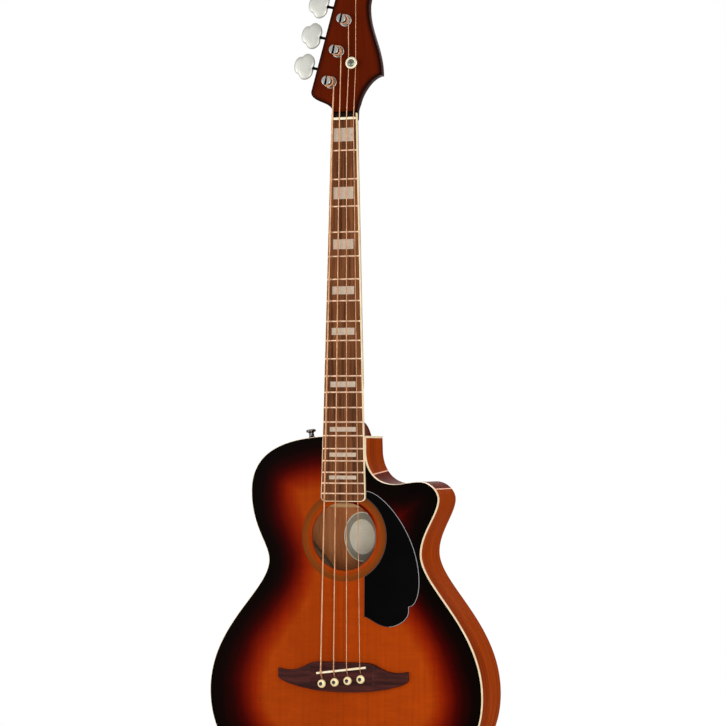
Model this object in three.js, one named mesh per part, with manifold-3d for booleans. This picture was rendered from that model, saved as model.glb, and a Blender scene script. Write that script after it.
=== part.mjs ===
// Acoustic bass guitar with a cutaway body, built from its separate wooden, bone and metal pieces.
// Millimetres. +Z runs up the neck, the soundboard faces -Y and the bass side is -X.
// The origin is on the centre line where the fretboard meets the nut, in the soundboard's plane.
import * as THREE from "three";
import { mergeVertices } from "three/addons/utils/BufferGeometryUtils.js";
import Module from "manifold-3d";

// Clearances
const jointGap = 0.3;
const cutOverrun = 2;

// Scale, fretboard and nut
const scaleLength = 769.6;
const fretsPerOctave = 12;
const fretCount = 20;
const bodyJoinFret = 15;
const boardBeyondLastFret = 11.3;
const boardBeyondNut = 9.4;
const boardThickness = 6.5;
const boardNutHalfWidth = 19.05;
const boardEndHalfWidth = 33;
const boardCrownRadius = 305;
const boardCornerRadius = 7;
const boardBindingWidth = 1.7;
const fretWidth = 2.6;
const fretCrownWidth = 1.1;
const fretHeight = 1.2;
const nutThickness = 4.6;
const nutSeatDepth = 4.4;
const nutTopAboveBoard = 2.9;
const nutCornerRadius = 1.2;

// Strings, from the heaviest to the lightest
const stringNames = ["e", "a", "d", "g"];
const stringDiameterE = 2.6;
const stringDiameterA = 2;
const stringDiameterD = 1.6;
const stringDiameterG = 1.15;
const stringDiameters = [stringDiameterE, stringDiameterA, stringDiameterD, stringDiameterG];
const stringSpacingNut = 10.4;
const stringSpacingSaddle = 19.3;
const stringAboveFretAtNut = 0.4;
const stringRestAboveTop = 13;
const windingTurnShares = [1.5, 1.75, 2, 2.25];
const windingAirGap = 1.1;
const windingLowAboveFace = 5.4;
const loopSteps = 24;
const wireSides = 6;
const ballRadius = 2.9;
const ballLength = 4.5;

// Body outline: each bout's widest place and the curve handles between them
const bodyLength = 505;
const upperBoutHalfWidth = 140.2;
const upperBoutDrop = 78;
const waistHalfWidth = 113;
const waistDrop = 176;
const lowerBoutHalfWidth = 202.5;
const lowerBoutDrop = 362;
const trebleWaistDrop = 165;
const hornHalfWidth = 138.9;
const hornSideDrop = 88.5;
const hornTopX = 112;
const hornTopDrop = 64.1;
const cutawayDipX = 75;
const cutawayDipDrop = 67.9;
const cutawayWallLength = 22;
const shoulderHandleShares = [0.407, 0.924];
const upperBoutHandleShares = [0.531, 0.232];
const waistHandleShares = [0.236, 0.495];
const tailHandleShares = [0.66, 0.6];
const hornWaistHandleShares = [0.388, 0.272];
const hornHandleShares = [0.535, 0.481];
const dipHandleShares = [0.411, 0.309];
const cutawayHandleShares = [0.958, 0.148];
const innerStripShare = 0.52;
const hornStripShare = 0.4;

// Body depth and the shell's walls
const bodyDepthAtNeck = 79;
const bodyDepthAtTail = 101;
const backDomeRadius = 4600;
const soundboardThickness = 3;
const backThickness = 3;
const backEdgeRadius = 2.2;
const sideThickness = 2.5;
const bindingWidth = 2;
const bindingDepth = 6.5;
const bindingEdgeRadius = 0.8;
const stripWidth = 1.8;
const innerStripLean = 6;
const cornerPostWidth = 3;
const tailJointGap = 0.3;
const liningWidth = 6.5;
const liningDepth = 15;
const liningFootShare = 0.35;

// Soundhole, rosette and pickguard
const soundholeBelowJoin = 141.6;
const soundholeRadius = 48.1;
const rosetteInnerRadius = 51.6;
const rosetteOuterRadius = 62.9;
const rosetteThickness = 1.1;
const guardThickness = 1.7;
const guardBevel = 0.9;
const guardTipAboveRosette = 1.3;
const guardLeftX = 31;
const guardFlankX = 112.2;
const guardToeX = 97;
const guardFootX = 67;
const guardNotch = 6;
const guardFlankShare = 0.355;
const guardToeShare = 0.548;
const guardFootShare = 0.7125;
const guardHeelShare = 0.6375;
const guardFlankHandleShares = [0.32, 0.528];
const guardToeHandleShares = [0.55, 0.6];
const guardFootHandleShares = [0.62, 0.334];
const guardHeelHandleShares = [0.45, 0.2];

// Bridge, saddle and pins
const bridgeHalfWidth = 97;
const bridgeCrestHalfWidth = 34;
const bridgeCrestAboveSaddle = 10.9;
const bridgeShoulderInset = 16;
const bridgeShoulderBelowSaddle = 1.9;
const bridgeTipAboveSaddle = 0.1;
const bridgeTipDepth = 13.7;
const bridgeTipRound = 2;
const bridgeFootBelowSaddle = 30.8;
const bridgeCrestHandleShares = [0.5, 0.4];
const bridgeTipHandleShares = [0.2, 0.5];
const bridgeFootHandleShares = [0.62, 0.35];
const bridgeThickness = 9;
const bridgeWingThickness = 4.2;
const bridgeBlockHalfWidth = 46;
const bridgeEdgeRadius = 1.4;
const saddleHalfLength = 37;
const saddleThickness = 3.2;
const saddleSlotDepth = 4.5;
const stringCompensation = 4.8;
const saddleSlant = 10;
const saddleCrownRadius = 915;
const pinBehindSaddle = 15.6;
const pinHeadRadius = 6;
const pinHeadHeight = 4.6;
const pinDomeShares = [0.72, 0.2];
const pinDotRadius = 2.1;
const pinDotDepth = 0.4;
const pinShankRadius = 3.6;
const pinTipRadius = 3.1;
const pinShankLength = 21;
const pinHoleClearance = 0.1;
const pinFluteOffset = 3.9;

// Inner frame of the body
const neckBlockBassX = 34;
const neckBlockToBrace = 20.3;
const tailBlockHalfWidth = 30;
const tailBlockDepth = 20;
const braceWidth = 7;
const braceHeight = 14;
const braceEndHeight = 3.2;
const braceEndLength = 34;
const braceCrossBelowHole = 24;
const braceUpperReach = 118;
const braceLowerReach = 226;
const braceTurn = 41;
const toneBarHeight = 10;
const toneBarHalfLength = 62;
const toneBarShift = 12;
const toneBarToPlate = 6;
const toneBarMiddleShares = [0.28, 0.62];
const toneBarRiseShare = 0.6;
const transverseToHole = 3.4;
const transverseWallGap = 14;
const transverseWidth = 11;
const transverseHeight = 16;
const bridgePlateAboveSaddle = 17.4;
const bridgePlateBelowSaddle = 37.6;
const bridgePlateTopToBrace = 17.9;
const bridgePlateFootToBrace = 53.7;
const bridgePlateThickness = 3;
const backBraceBelowJoin = 99;
const backBraceAboveTail = 70;
const backBraceCount = 4;
const backBraceStationShares = [0, 0.15, 0.5, 0.85, 1];
const backBraceWidth = 9;
const backBraceHeight = 12;
const backBraceEndHeight = 3;
const backBraceWallGap = 7;
const backBraceSink = 1;

// Neck, heel and headstock
const neckThicknessAtNut = 13.6;
const neckThicknessAtHeel = 15.6;
const heelLength = 71;
const heelDepth = 76;
const heelCapHalfWidth = 14.3;
const heelFlarePower = 2.1;
const heelAlongShares = [0, 0.28, 0.42, 0.54, 0.62, 0.69, 0.76, 0.84, 0.92, 1];
const heelDepthShares = [0, 0.09, 0.22, 0.45, 0.7, 0.9, 0.98, 1, 1, 1];
const heelCapShares = [0.1, 0.1, 0.1, 0.1, 0.12, 0.2, 0.48, 0.7, 0.87, 1];
const heelBlendShares = [0, 0.25, 0.55, 0.8, 0.95, 1, 1, 1, 1, 1];
const neckToHeadHalfWidth = 14.2;
const headFaceDrop = 3.6;
const headThickness = 14;
const headEdgeAtNut = 2.5;
const headRampLength = 9;
const headBackRampLength = 24;
const headWaistBassX = 21;
const headWaistTrebleX = 17.2;
const headWaistZ = 14;
const headEarBassX = 53.4;
const headEarBassZ = 43.5;
const headEarTrebleX = 52.6;
const headEarTrebleZ = 62.5;
const headTipBassX = 12.2;
const headTipZ = 192;
const headNeckTrebleX = 33;
const headNeckTrebleZ = 160;
const headTopX = 13;
const headTopZ = 221;
const headTopHalfWidth = 24.5;
const headCurlZ = 195;
const rodRadius = 3;
const rodNutBelowTop = 0.5;
const rodNutRadius = 3.5;
const rodNutLength = 14;
const rodStartBelowNut = 9;

// Tuners: a worm on the key's shaft turns the wheel on the string post
const tunerCount = 4;
const firstPostX = -23.1;
const firstPostZ = 55.6;
const postSpacing = 45;
const postLineTurn = 14.2;
const wheelTeeth = 20;
const gearModule = 1.2;
const wormPitchRadius = 4;
const toothAddendum = 1.15;
const toothDedendum = 1.5;
const toothFlankTurn = 20;
const meshClearance = 0.24;
const wheelThickness = 4.8;
const wormTurnShare = 2.3;
const wormLift = 0.5;
const tunerPlateThickness = 1.5;
const tunerPlateKeySide = 14.5;
const tunerPlateFarSide = 12.5;
const tunerPlateNutSide = 13;
const tunerPlateTipSide = 23.5;
const tunerPlateCorner = 5;
const tunerScrewRadius = 1.5;
const tunerScrewInset = 3.6;
const earThickness = 3;
const earToWheel = 0.48;
const earAirGap = 0.8;
const keyStart = 40.6;
const keyAirGap = 8.2;
const keyLengthShare = 0.83;
const keyLobeShare = 0.12;
const keyInnerShare = 0.82;
const keyThickness = 6.5;
const keyBevel = 1.5;
const keyCollarRadius = 3.9;
const keyCollarLength = 6;
const shaftEndBeyondEar = 1.2;
const postJournalRadius = 4.8;
const postHubRadius = 3.1;
const postFlangeRadius = 6.7;
const postWaistRadius = 5.1;
const postTopRadius = 6.8;
const postHeight = 20.5;
const postTopLand = 2.4;
const postFlare = 1.4;
const postFlangeHeight = 3;
const postSlotWidth = 3;
const postSlotDepth = 5;
const postCapRadius = 4.4;
const postCapHeight = 1.6;
const wheelHubRadius = 7;
const bushingFlangeRadius = 9;
const bushingFlangeHeight = 1.3;
const bushingBarrelRadius = 6.6;
const bushingLength = 9;

// String retainer and strap buttons
const retainerTowardsBass = 0.68;
const retainerZ = 81;
const retainerRadius = 8.8;
const retainerThickness = 2.2;
const retainerStemRadius = 3;
const retainerScrewRadius = 2.6;
const retainerScrewDepth = 0.8;
const buttonX = 64;
const buttonFromFace = 42;
const buttonBaseRadius = 6.5;
const buttonNeckRadius = 3.8;
const buttonRimRadius = 7.2;
const buttonHeight = 14;
const buttonBaseHeight = 2.2;
const buttonRimHeight = 3.4;
const tailButtonFromFace = 48;

const wasm = await Module();
wasm.setup();

// Finishes
const finish = (color, roughness, metalness) =>
  new THREE.MeshStandardMaterial({ color, roughness, metalness });
const sunburstTop = finish(0x8a3a10, 0.3, 0);
const mahogany = finish(0x7a3212, 0.35, 0);
const spruce = finish(0xd9b27c, 0.7, 0);
const rosewood = finish(0x4a2a1c, 0.5, 0);
const creamTrim = finish(0xf0dcb4, 0.35, 0);
const bone = finish(0xf2e6cd, 0.4, 0);
const blackPlastic = finish(0x101010, 0.2, 0);
const nickel = finish(0xc9c9c6, 0.25, 1);
const steel = finish(0x8c8c8c, 0.4, 1);
const brass = finish(0xb08a3e, 0.35, 1);
const bronzeWire = finish(0xb9824a, 0.35, 1);
const ringWood = finish(0x5c4424, 0.5, 0);

// A mesh that shares its vertices and has lost its flattened triangles, facing out
function closedMesh(geometry) {
  const bare = geometry.clone();
  bare.deleteAttribute("normal");
  bare.deleteAttribute("uv");
  const merged = mergeVertices(bare);
  const index = merged.index.array;
  const kept = [];
  for (let i = 0; i < index.length; i += 3) {
    const [a, b, c] = [index[i], index[i + 1], index[i + 2]];
    if (a !== b && b !== c && c !== a) kept.push(a, b, c);
  }
  merged.setIndex(kept);
  return signedVolume(merged) < 0 ? turnedInsideOut(merged) : merged;
}

function signedVolume(geometry) {
  const position = geometry.attributes.position;
  const index = geometry.index.array;
  const [a, b, c] = [new THREE.Vector3(), new THREE.Vector3(), new THREE.Vector3()];
  let total = 0;
  for (let i = 0; i < index.length; i += 3) {
    a.fromBufferAttribute(position, index[i]);
    b.fromBufferAttribute(position, index[i + 1]);
    c.fromBufferAttribute(position, index[i + 2]);
    total += a.dot(b.cross(c));
  }
  return total;
}

function turnedInsideOut(geometry) {
  const index = Array.from(geometry.index.array);
  for (let i = 0; i < index.length; i += 3) {
    [index[i + 1], index[i + 2]] = [index[i + 2], index[i + 1]];
  }
  geometry.setIndex(index);
  return geometry;
}

// Boolean joins and cuts
function solid(geometry) {
  const mesh = closedMesh(geometry);
  return new wasm.Manifold(new wasm.Mesh({
    numProp: 3,
    vertProperties: new Float32Array(mesh.attributes.position.array),
    triVerts: new Uint32Array(mesh.index.array),
  }));
}

function geometryOf(body) {
  const mesh = body.getMesh();
  const geometry = new THREE.BufferGeometry();
  const positions = new Float32Array(mesh.numVert * 3);
  for (let i = 0; i < mesh.numVert; i += 1) {
    for (let k = 0; k < 3; k += 1) positions[i * 3 + k] = mesh.vertProperties[i * mesh.numProp + k];
  }
  geometry.setAttribute("position", new THREE.BufferAttribute(positions, 3));
  geometry.setIndex(Array.from(mesh.triVerts));
  return geometry;
}

function cut(geometry, ...tools) {
  let body = solid(geometry);
  for (const tool of tools) body = body.subtract(solid(tool));
  return geometryOf(body);
}

function join(geometry, ...others) {
  let body = solid(geometry);
  for (const other of others) body = body.add(solid(other));
  return geometryOf(body);
}

function overlap(geometry, other) {
  return geometryOf(solid(geometry).intersect(solid(other)));
}

// A skin over a row of sections that hold the same number of points, each a closed loop
function loft(sections, ringClosed = false) {
  const count = sections[0].length;
  const positions = sections.flat().flatMap((point) => [point.x, point.y, point.z]);
  const index = [];
  const spans = ringClosed ? sections.length : sections.length - 1;
  for (let row = 0; row < spans; row += 1) {
    const next = (row + 1) % sections.length;
    for (let k = 0; k < count; k += 1) {
      const [a, b] = [row * count + k, row * count + ((k + 1) % count)];
      const [c, d] = [next * count + k, next * count + ((k + 1) % count)];
      index.push(a, c, b, b, c, d);
    }
  }
  if (!ringClosed) {
    for (const [row, flip] of [[0, false], [sections.length - 1, true]]) {
      const centre = new THREE.Vector3();
      for (const point of sections[row]) centre.add(point);
      centre.divideScalar(count);
      const hub = positions.length / 3;
      positions.push(centre.x, centre.y, centre.z);
      for (let k = 0; k < count; k += 1) {
        const [a, b] = [row * count + k, row * count + ((k + 1) % count)];
        index.push(...(flip ? [hub, b, a] : [hub, a, b]));
      }
    }
  }
  const geometry = new THREE.BufferGeometry();
  geometry.setAttribute("position", new THREE.Float32BufferAttribute(positions, 3));
  geometry.setIndex(index);
  return closedMesh(geometry);
}

// A flat outline in x and z, given a thickness from yFront to yBack
function slab(outline, yFront, yBack, holes = []) {
  const shape = new THREE.Shape(outline);
  shape.holes.push(...holes.map((hole) => new THREE.Path(hole)));
  const geometry = new THREE.ExtrudeGeometry(shape, { depth: yBack - yFront, bevelEnabled: false });
  geometry.rotateX(Math.PI / 2);
  geometry.translate(0, yBack, 0);
  return closedMesh(geometry);
}

// A side view in y and z, given a width from xLow to xHigh
function sideSlab(profile, xLow, xHigh, holes = []) {
  const shape = new THREE.Shape(profile);
  shape.holes.push(...holes.map((hole) => new THREE.Path(hole)));
  const geometry = new THREE.ExtrudeGeometry(shape, { depth: xHigh - xLow, bevelEnabled: false });
  geometry.rotateY(Math.PI / 2);
  geometry.rotateX(Math.PI / 2);
  geometry.translate(xLow, 0, 0);
  return closedMesh(geometry);
}

// A plan in x and y, given a length from zLow to zHigh
function crossSlab(profile, zLow, zHigh) {
  const shape = new THREE.Shape(profile);
  const geometry = new THREE.ExtrudeGeometry(shape, { depth: zHigh - zLow, bevelEnabled: false });
  geometry.translate(0, 0, zLow);
  return closedMesh(geometry);
}

function box(low, high) {
  const geometry = new THREE.BoxGeometry(high[0] - low[0], high[1] - low[1], high[2] - low[2]);
  geometry.translate((high[0] + low[0]) / 2, (high[1] + low[1]) / 2, (high[2] + low[2]) / 2);
  return closedMesh(geometry);
}

// A body of revolution about the Y axis, from [radius, y] pairs that start and end on the axis
function turned(profile, segments) {
  const points = profile.map(([radius, y]) => new THREE.Vector2(radius, y));
  return closedMesh(new THREE.LatheGeometry(points, segments));
}

function circleOf(x, z, radius, sides) {
  return Array.from({ length: sides }, (_, i) => {
    const turn = (2 * Math.PI * i) / sides;
    return new THREE.Vector2(x + radius * Math.cos(turn), z + radius * Math.sin(turn));
  });
}

// A round tube with a ring at every point of its path, carried without twist
function tubeAlong(path, radius, sides) {
  const across = new THREE.Vector3(0, 0, 1);
  const sections = path.map((point, i) => {
    const ahead = path[Math.min(i + 1, path.length - 1)];
    const behind = path[Math.max(i - 1, 0)];
    const intoPoint = point.clone().sub(behind).normalize();
    const outOfPoint = ahead.clone().sub(point).normalize();
    const along = intoPoint.add(outOfPoint).normalize();
    if (i === 0 && Math.abs(across.dot(along)) > 1 / 2) across.set(1, 0, 0);
    across.addScaledVector(along, -across.dot(along)).normalize();
    const side = along.clone().cross(across);
    return Array.from({ length: sides }, (_, k) => {
      const turn = (2 * Math.PI * k) / sides;
      return point.clone()
        .addScaledVector(across, radius * Math.cos(turn))
        .addScaledVector(side, radius * Math.sin(turn));
    });
  });
  return loft(sections);
}

// The fretboard's heights and widths
const fretZ = (fret) => -scaleLength * (1 - 2 ** (-fret / fretsPerOctave));
const boardEndZ = fretZ(fretCount) - boardBeyondLastFret;
const boardHalfWidth = (z) =>
  boardNutHalfWidth + (boardEndHalfWidth - boardNutHalfWidth) * (z / boardEndZ);
const crownDrop = (x, radius) => radius - Math.sqrt(radius * radius - x * x);
const boardFaceY = (x) => -boardThickness + crownDrop(x, boardCrownRadius);

// The body's outline, anticlockwise seen from the front, as stations with inward normals
const joinZ = fretZ(bodyJoinFret);
const cutawayWallX = boardHalfWidth(joinZ);
const tailZ = joinZ - bodyLength;
const below = (drop) => -drop;
const fromJoin = (drop) => joinZ - drop;
const soundholeZ = fromJoin(soundholeBelowJoin);
const saddleMidZ = below(scaleLength + stringCompensation);
const bridgeCrestZ = saddleMidZ + bridgeCrestAboveSaddle;
const bridgeFootZ = saddleMidZ - bridgeFootBelowSaddle;

function bendBetween(start, end, startUpright, endUpright, shares) {
  const [width, height] = [end.x - start.x, end.y - start.y];
  const first = startUpright
    ? new THREE.Vector2(start.x, start.y + height * shares[0])
    : new THREE.Vector2(start.x + width * shares[0], start.y);
  const second = endUpright
    ? new THREE.Vector2(end.x, end.y - height * shares[1])
    : new THREE.Vector2(end.x - width * shares[1], end.y);
  return new THREE.CubicBezierCurve(start, first, second, end);
}

function rimStretches() {
  const at = (x, drop) => new THREE.Vector2(x, fromJoin(drop));
  const corner = at(cutawayWallX, 0);
  const centre = at(0, 0);
  const bassUpper = at(-upperBoutHalfWidth, upperBoutDrop);
  const bassWaist = at(-waistHalfWidth, waistDrop);
  const bassLower = at(-lowerBoutHalfWidth, lowerBoutDrop);
  const tail = at(0, bodyLength);
  const trebleLower = at(lowerBoutHalfWidth, lowerBoutDrop);
  const trebleWaist = at(waistHalfWidth, trebleWaistDrop);
  const hornSide = at(hornHalfWidth, hornSideDrop);
  const hornTop = at(hornTopX, hornTopDrop);
  const dip = at(cutawayDipX, cutawayDipDrop);
  const wallFoot = at(cutawayWallX, cutawayWallLength);
  const reversed = (shares) => [shares[1], shares[0]];
  return [
    { curve: new THREE.LineCurve(corner, centre), steps: 1 },
    { curve: bendBetween(centre, bassUpper, false, true, shoulderHandleShares), steps: 8 },
    { curve: bendBetween(bassUpper, bassWaist, true, true, upperBoutHandleShares), steps: 5 },
    { curve: bendBetween(bassWaist, bassLower, true, true, waistHandleShares), steps: 6 },
    { curve: bendBetween(bassLower, tail, true, false, tailHandleShares), steps: 8 },
    { curve: bendBetween(tail, trebleLower, false, true, reversed(tailHandleShares)), steps: 8 },
    { curve: bendBetween(trebleLower, trebleWaist, true, true, reversed(waistHandleShares)), steps: 6 },
    { curve: bendBetween(trebleWaist, hornSide, true, true, hornWaistHandleShares), steps: 4 },
    { curve: bendBetween(hornSide, hornTop, true, false, hornHandleShares), steps: 4 },
    { curve: bendBetween(hornTop, dip, false, false, dipHandleShares), steps: 2 },
    { curve: bendBetween(dip, wallFoot, false, true, cutawayHandleShares), steps: 6 },
    { curve: new THREE.LineCurve(wallFoot, corner), steps: 1 },
  ];
}

// Each station holds its place, its mitred inward normal and its distance along the rim
function buildRim() {
  const points = [];
  const stretchStarts = [];
  for (const { curve, steps } of rimStretches()) {
    stretchStarts.push(points.length);
    for (let i = 0; i < steps; i += 1) points.push(curve.getPoint(i / steps));
  }
  const count = points.length;
  const stations = points.map((point, i) => {
    const before = points[(i + count - 1) % count];
    const after = points[(i + 1) % count];
    const into = point.clone().sub(before).normalize();
    const out = after.clone().sub(point).normalize();
    const normal = new THREE.Vector2(-into.y - out.y, into.x + out.x).normalize();
    const stretch = Math.max(normal.dot(new THREE.Vector2(-into.y, into.x)), 1 / 2);
    return { x: point.x, z: point.y, nx: normal.x / stretch, nz: normal.y / stretch };
  });
  let along = 0;
  stations.forEach((station, i) => {
    station.along = along;
    along += points[i].distanceTo(points[(i + 1) % count]);
  });
  const stretchAlong = stretchStarts.map((start) => stations[start].along);
  return { stations, length: along, stretchAlong };
}

const rim = buildRim();
const stretchLength = (stretch) =>
  (rim.stretchAlong[stretch + 1] ?? rim.length) - rim.stretchAlong[stretch];

// A station at any distance along the rim, with the plain normal of the chord it lies on
function rimAt(along) {
  const { stations, length } = rim;
  const wrapped = ((along % length) + length) % length;
  let i = stations.length - 1;
  while (stations[i].along > wrapped) i -= 1;
  const [from, to] = [stations[i], stations[(i + 1) % stations.length]];
  const span = (to.along || length) - from.along;
  const share = (wrapped - from.along) / span;
  const [dx, dz] = [(to.x - from.x) / span, (to.z - from.z) / span];
  return {
    x: from.x + (to.x - from.x) * share,
    z: from.z + (to.z - from.z) * share,
    nx: -dz,
    nz: dx,
    along,
  };
}

function rimBetween(from, to) {
  const inside = rim.stations.filter((station) => station.along > from && station.along < to);
  return [rimAt(from), ...inside, rimAt(to)];
}

const inward = (station, inset) => [station.x + station.nx * inset, station.z + station.nz * inset];

// The back's outer face: a wide dome over a plane that deepens towards the tail
function backY(x, z) {
  const share = (joinZ - z) / bodyLength;
  const plane = bodyDepthAtNeck + (bodyDepthAtTail - bodyDepthAtNeck) * share;
  const dome = ((joinZ - z) * (z - tailZ) - x * x) / (2 * backDomeRadius);
  return plane + dome;
}
const backInnerY = (x, z) => backY(x, z) - backThickness;
const underTopY = soundboardThickness + jointGap;

// A rim section from pairs of inset and depth; a depth may be a number or a height below the back
function rimSection(station, pairs) {
  return pairs.map(([inset, depth]) => {
    const [x, z] = inward(station, inset);
    return new THREE.Vector3(x, typeof depth === "function" ? depth(x, z) : depth, z);
  });
}
const underBack = (clearance) => (x, z) => backInnerY(x, z) - clearance;

// Soundboard, with its soundhole, the rosette's groove and the pin holes
const pins = stringNames.map((name, i) => {
  const place = i - (stringNames.length - 1) / 2;
  const x = place * stringSpacingSaddle;
  const saddleZ = saddleMidZ + (x / (2 * saddleHalfLength)) * saddleSlant;
  return { name, x, saddleZ, z: saddleZ - pinBehindSaddle, radius: stringDiameters[i] / 2 };
});

const pinHoleSides = 8;
const pinHoleRadius = (pinShankRadius + pinHoleClearance) / Math.cos(Math.PI / pinHoleSides);

function pinHoleTools() {
  const [front, back] = [-bridgeThickness - cutOverrun, bodyDepthAtNeck / 4];
  return pins.flatMap((pin, i) => [
    slab(circleOf(pin.x, pin.z, pinHoleRadius, pinHoleSides), front, back),
    stringCutter(i, 3),
  ]);
}

function soundboardGeometry() {
  const outline = rim.stations.map((station) => {
    const [x, z] = inward(station, bindingWidth + jointGap);
    return new THREE.Vector2(x, z);
  });
  const hole = circleOf(0, soundholeZ, soundholeRadius, 32);
  const grooveOuter = circleOf(0, soundholeZ, rosetteOuterRadius + jointGap, 32);
  const grooveInner = circleOf(0, soundholeZ, rosetteInnerRadius - jointGap, 32);
  const plate = slab(outline, 0, soundboardThickness, [hole]);
  const groove = slab(grooveOuter, -cutOverrun, rosetteThickness + jointGap, [grooveInner]);
  return cut(plate, groove, ...pinHoleTools());
}

function rosetteGeometry() {
  const outer = circleOf(0, soundholeZ, rosetteOuterRadius, 32);
  const inner = circleOf(0, soundholeZ, rosetteInnerRadius, 32);
  return slab(outer, 0, rosetteThickness, [inner]);
}

// Sides, binding and linings follow the rim. At a seam all the ends share the seam's own normal.
const tailAlong = rim.stretchAlong[5];
const hornStripAlong = rim.stretchAlong[8] + stretchLength(8) * hornStripShare;
const innerStripAlong = rim.stretchAlong[10] + stretchLength(10) * innerStripShare;
const tailStation = rim.stations.find((station) => station.along === tailAlong);

function besideSeam(seam, offset) {
  const { nx, nz } = seam === tailAlong ? tailStation : rimAt(seam);
  return { ...rimAt(seam + offset), nx, nz };
}

// A section beside a seam, whose foot may stand further along the rim than its top
function seamSection({ seam, offset = 0, lean = 0 }, pairs) {
  const [top, foot] = [besideSeam(seam, offset), besideSeam(seam + lean, offset)];
  return pairs.map((pair) => rimSection(typeof pair[1] === "function" ? foot : top, [pair])[0]);
}

function sideGeometry(start, end) {
  const top = bindingDepth + jointGap;
  const foot = underBack(jointGap);
  const pairs = [[0, top], [0, foot], [sideThickness, foot], [sideThickness, top]];
  const [from, to] = [start, end].map(({ seam, offset = 0 }) => seam + offset);
  const inner = rimBetween(from + (start.lean ?? 0), to).slice(1, -1);
  return loft([
    seamSection(start, pairs),
    ...inner.map((station) => rimSection(station, pairs)),
    seamSection(end, pairs),
  ]);
}

function bindingGeometry() {
  const pairs = [
    [0, bindingDepth],
    [0, bindingEdgeRadius],
    [bindingEdgeRadius, 0],
    [bindingWidth, 0],
    [bindingWidth, bindingDepth],
  ];
  const ring = loft(rim.stations.map((station) => rimSection(station, pairs)), true);
  const foot = underBack(jointGap);
  const rootDepth = bindingDepth - bindingEdgeRadius;
  const stripPairs = [[0, rootDepth], [0, foot], [sideThickness, foot], [sideThickness, rootDepth]];
  const stripAt = (seam, lean) => loft([-stripWidth / 2, stripWidth / 2].map((offset) =>
    seamSection({ seam, offset, lean }, stripPairs)));
  const strips = [stripAt(hornStripAlong, 0), stripAt(innerStripAlong, innerStripLean)];
  const corner = [rimAt(rim.length - cornerPostWidth), rim.stations[0], rimAt(cornerPostWidth)];
  const cornerPost = loft(corner.map((station) => rimSection(station, stripPairs)));
  return join(ring, ...strips, cornerPost);
}

const stripReach = stripWidth / 2 + jointGap;

// The blocks fill the space between the sides, from the soundboard to the back
const sideInner = sideThickness + jointGap;
const liningInner = sideInner + liningWidth + jointGap;

function blockRow(from, to) {
  const row = rimBetween(from, to).map((station) => inward(station, sideInner));
  const [xs, zs] = [row.map(([x]) => x), row.map(([, z]) => z)];
  return { row, low: [Math.min(...xs), Math.min(...zs)], high: [Math.max(...xs), Math.max(...zs)] };
}

const transverseZ = soundholeZ + soundholeRadius + transverseToHole + transverseWidth / 2;
const neckBlock = blockRow(sideInner, cutawayWallX + neckBlockBassX);
neckBlock.low[1] = transverseZ + transverseWidth / 2 + neckBlockToBrace;
neckBlock.reach = neckBlock.low[1];
const tailBlock = blockRow(tailAlong - tailBlockHalfWidth, tailAlong + tailBlockHalfWidth);
tailBlock.high[1] = tailZ + sideInner + tailBlockDepth;
tailBlock.reach = tailBlock.high[1];

function blockGeometry({ row, reach }) {
  return loft(row.map(([x, z]) => [
    new THREE.Vector3(x, underTopY, z),
    new THREE.Vector3(x, underTopY, reach),
    new THREE.Vector3(x, backInnerY(x, reach) - jointGap, reach),
    new THREE.Vector3(x, backInnerY(x, z) - jointGap, z),
  ]));
}

// Linings run between the blocks: stations whose section would meet a block are left off
function clearOfBlocks(station) {
  const across = Array.from({ length: 5 }, (_, i) => inward(station, sideInner + (liningWidth * i) / 4));
  return across.every(([x, z]) => [neckBlock, tailBlock].every(({ low, high }) =>
    x < low[0] - jointGap || x > high[0] + jointGap || z < low[1] - jointGap || z > high[1] + jointGap));
}

function liningGeometry(from, to, pairs) {
  const step = jointGap;
  let [start, end] = [from, to];
  while (!clearOfBlocks(rimAt(start))) start += step;
  while (!clearOfBlocks(rimAt(end))) end -= step;
  const clear = rimBetween(start, end).filter(clearOfBlocks);
  return loft(clear.map((station) => rimSection(station, pairs)));
}

const topLiningPairs = [
  [sideInner, underTopY],
  [sideInner, underTopY + liningDepth],
  [sideInner + liningWidth, underTopY + liningDepth * liningFootShare],
  [sideInner + liningWidth, underTopY],
];
const backLiningPairs = [
  [sideInner, underBack(jointGap)],
  [sideInner, underBack(jointGap + liningDepth)],
  [sideInner + liningWidth, underBack(jointGap + liningDepth * liningFootShare)],
  [sideInner + liningWidth, underBack(jointGap)],
];

// Back plate: a domed plate with a rounded edge, carrying its ladder braces
function backPlateGeometry() {
  const hub = { x: 0, z: fromJoin(bodyLength / 2) };
  const shrunk = (station, share) => [
    hub.x + (station.x - hub.x) * share,
    hub.z + (station.z - hub.z) * share,
  ];
  const domeShares = [1 / 2, 0];
  const underShares = [0, 0.36, 0.72];
  const outerPairs = [[0, backEdgeRadius], [backEdgeRadius, 0]];
  const sections = rim.stations.map((station) => {
    const outer = outerPairs.map(([inset, rise]) => {
      const [x, z] = inward(station, inset);
      return new THREE.Vector3(x, backY(x, z) - rise, z);
    });
    const dome = domeShares.map((share) => {
      const [x, z] = shrunk(station, share);
      return new THREE.Vector3(x, backY(x, z), z);
    });
    const under = underShares.map((share) => {
      const [x, z] = shrunk(station, share);
      return new THREE.Vector3(x, backInnerY(x, z), z);
    });
    const foot = [sideInner + liningWidth, 0].map((inset) => {
      const [x, z] = inward(station, inset);
      return new THREE.Vector3(x, backInnerY(x, z), z);
    });
    return [...outer, ...dome, ...under, ...foot];
  });
  return join(hubbedShell(sections), ...backBraceGeometries());
}

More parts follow.
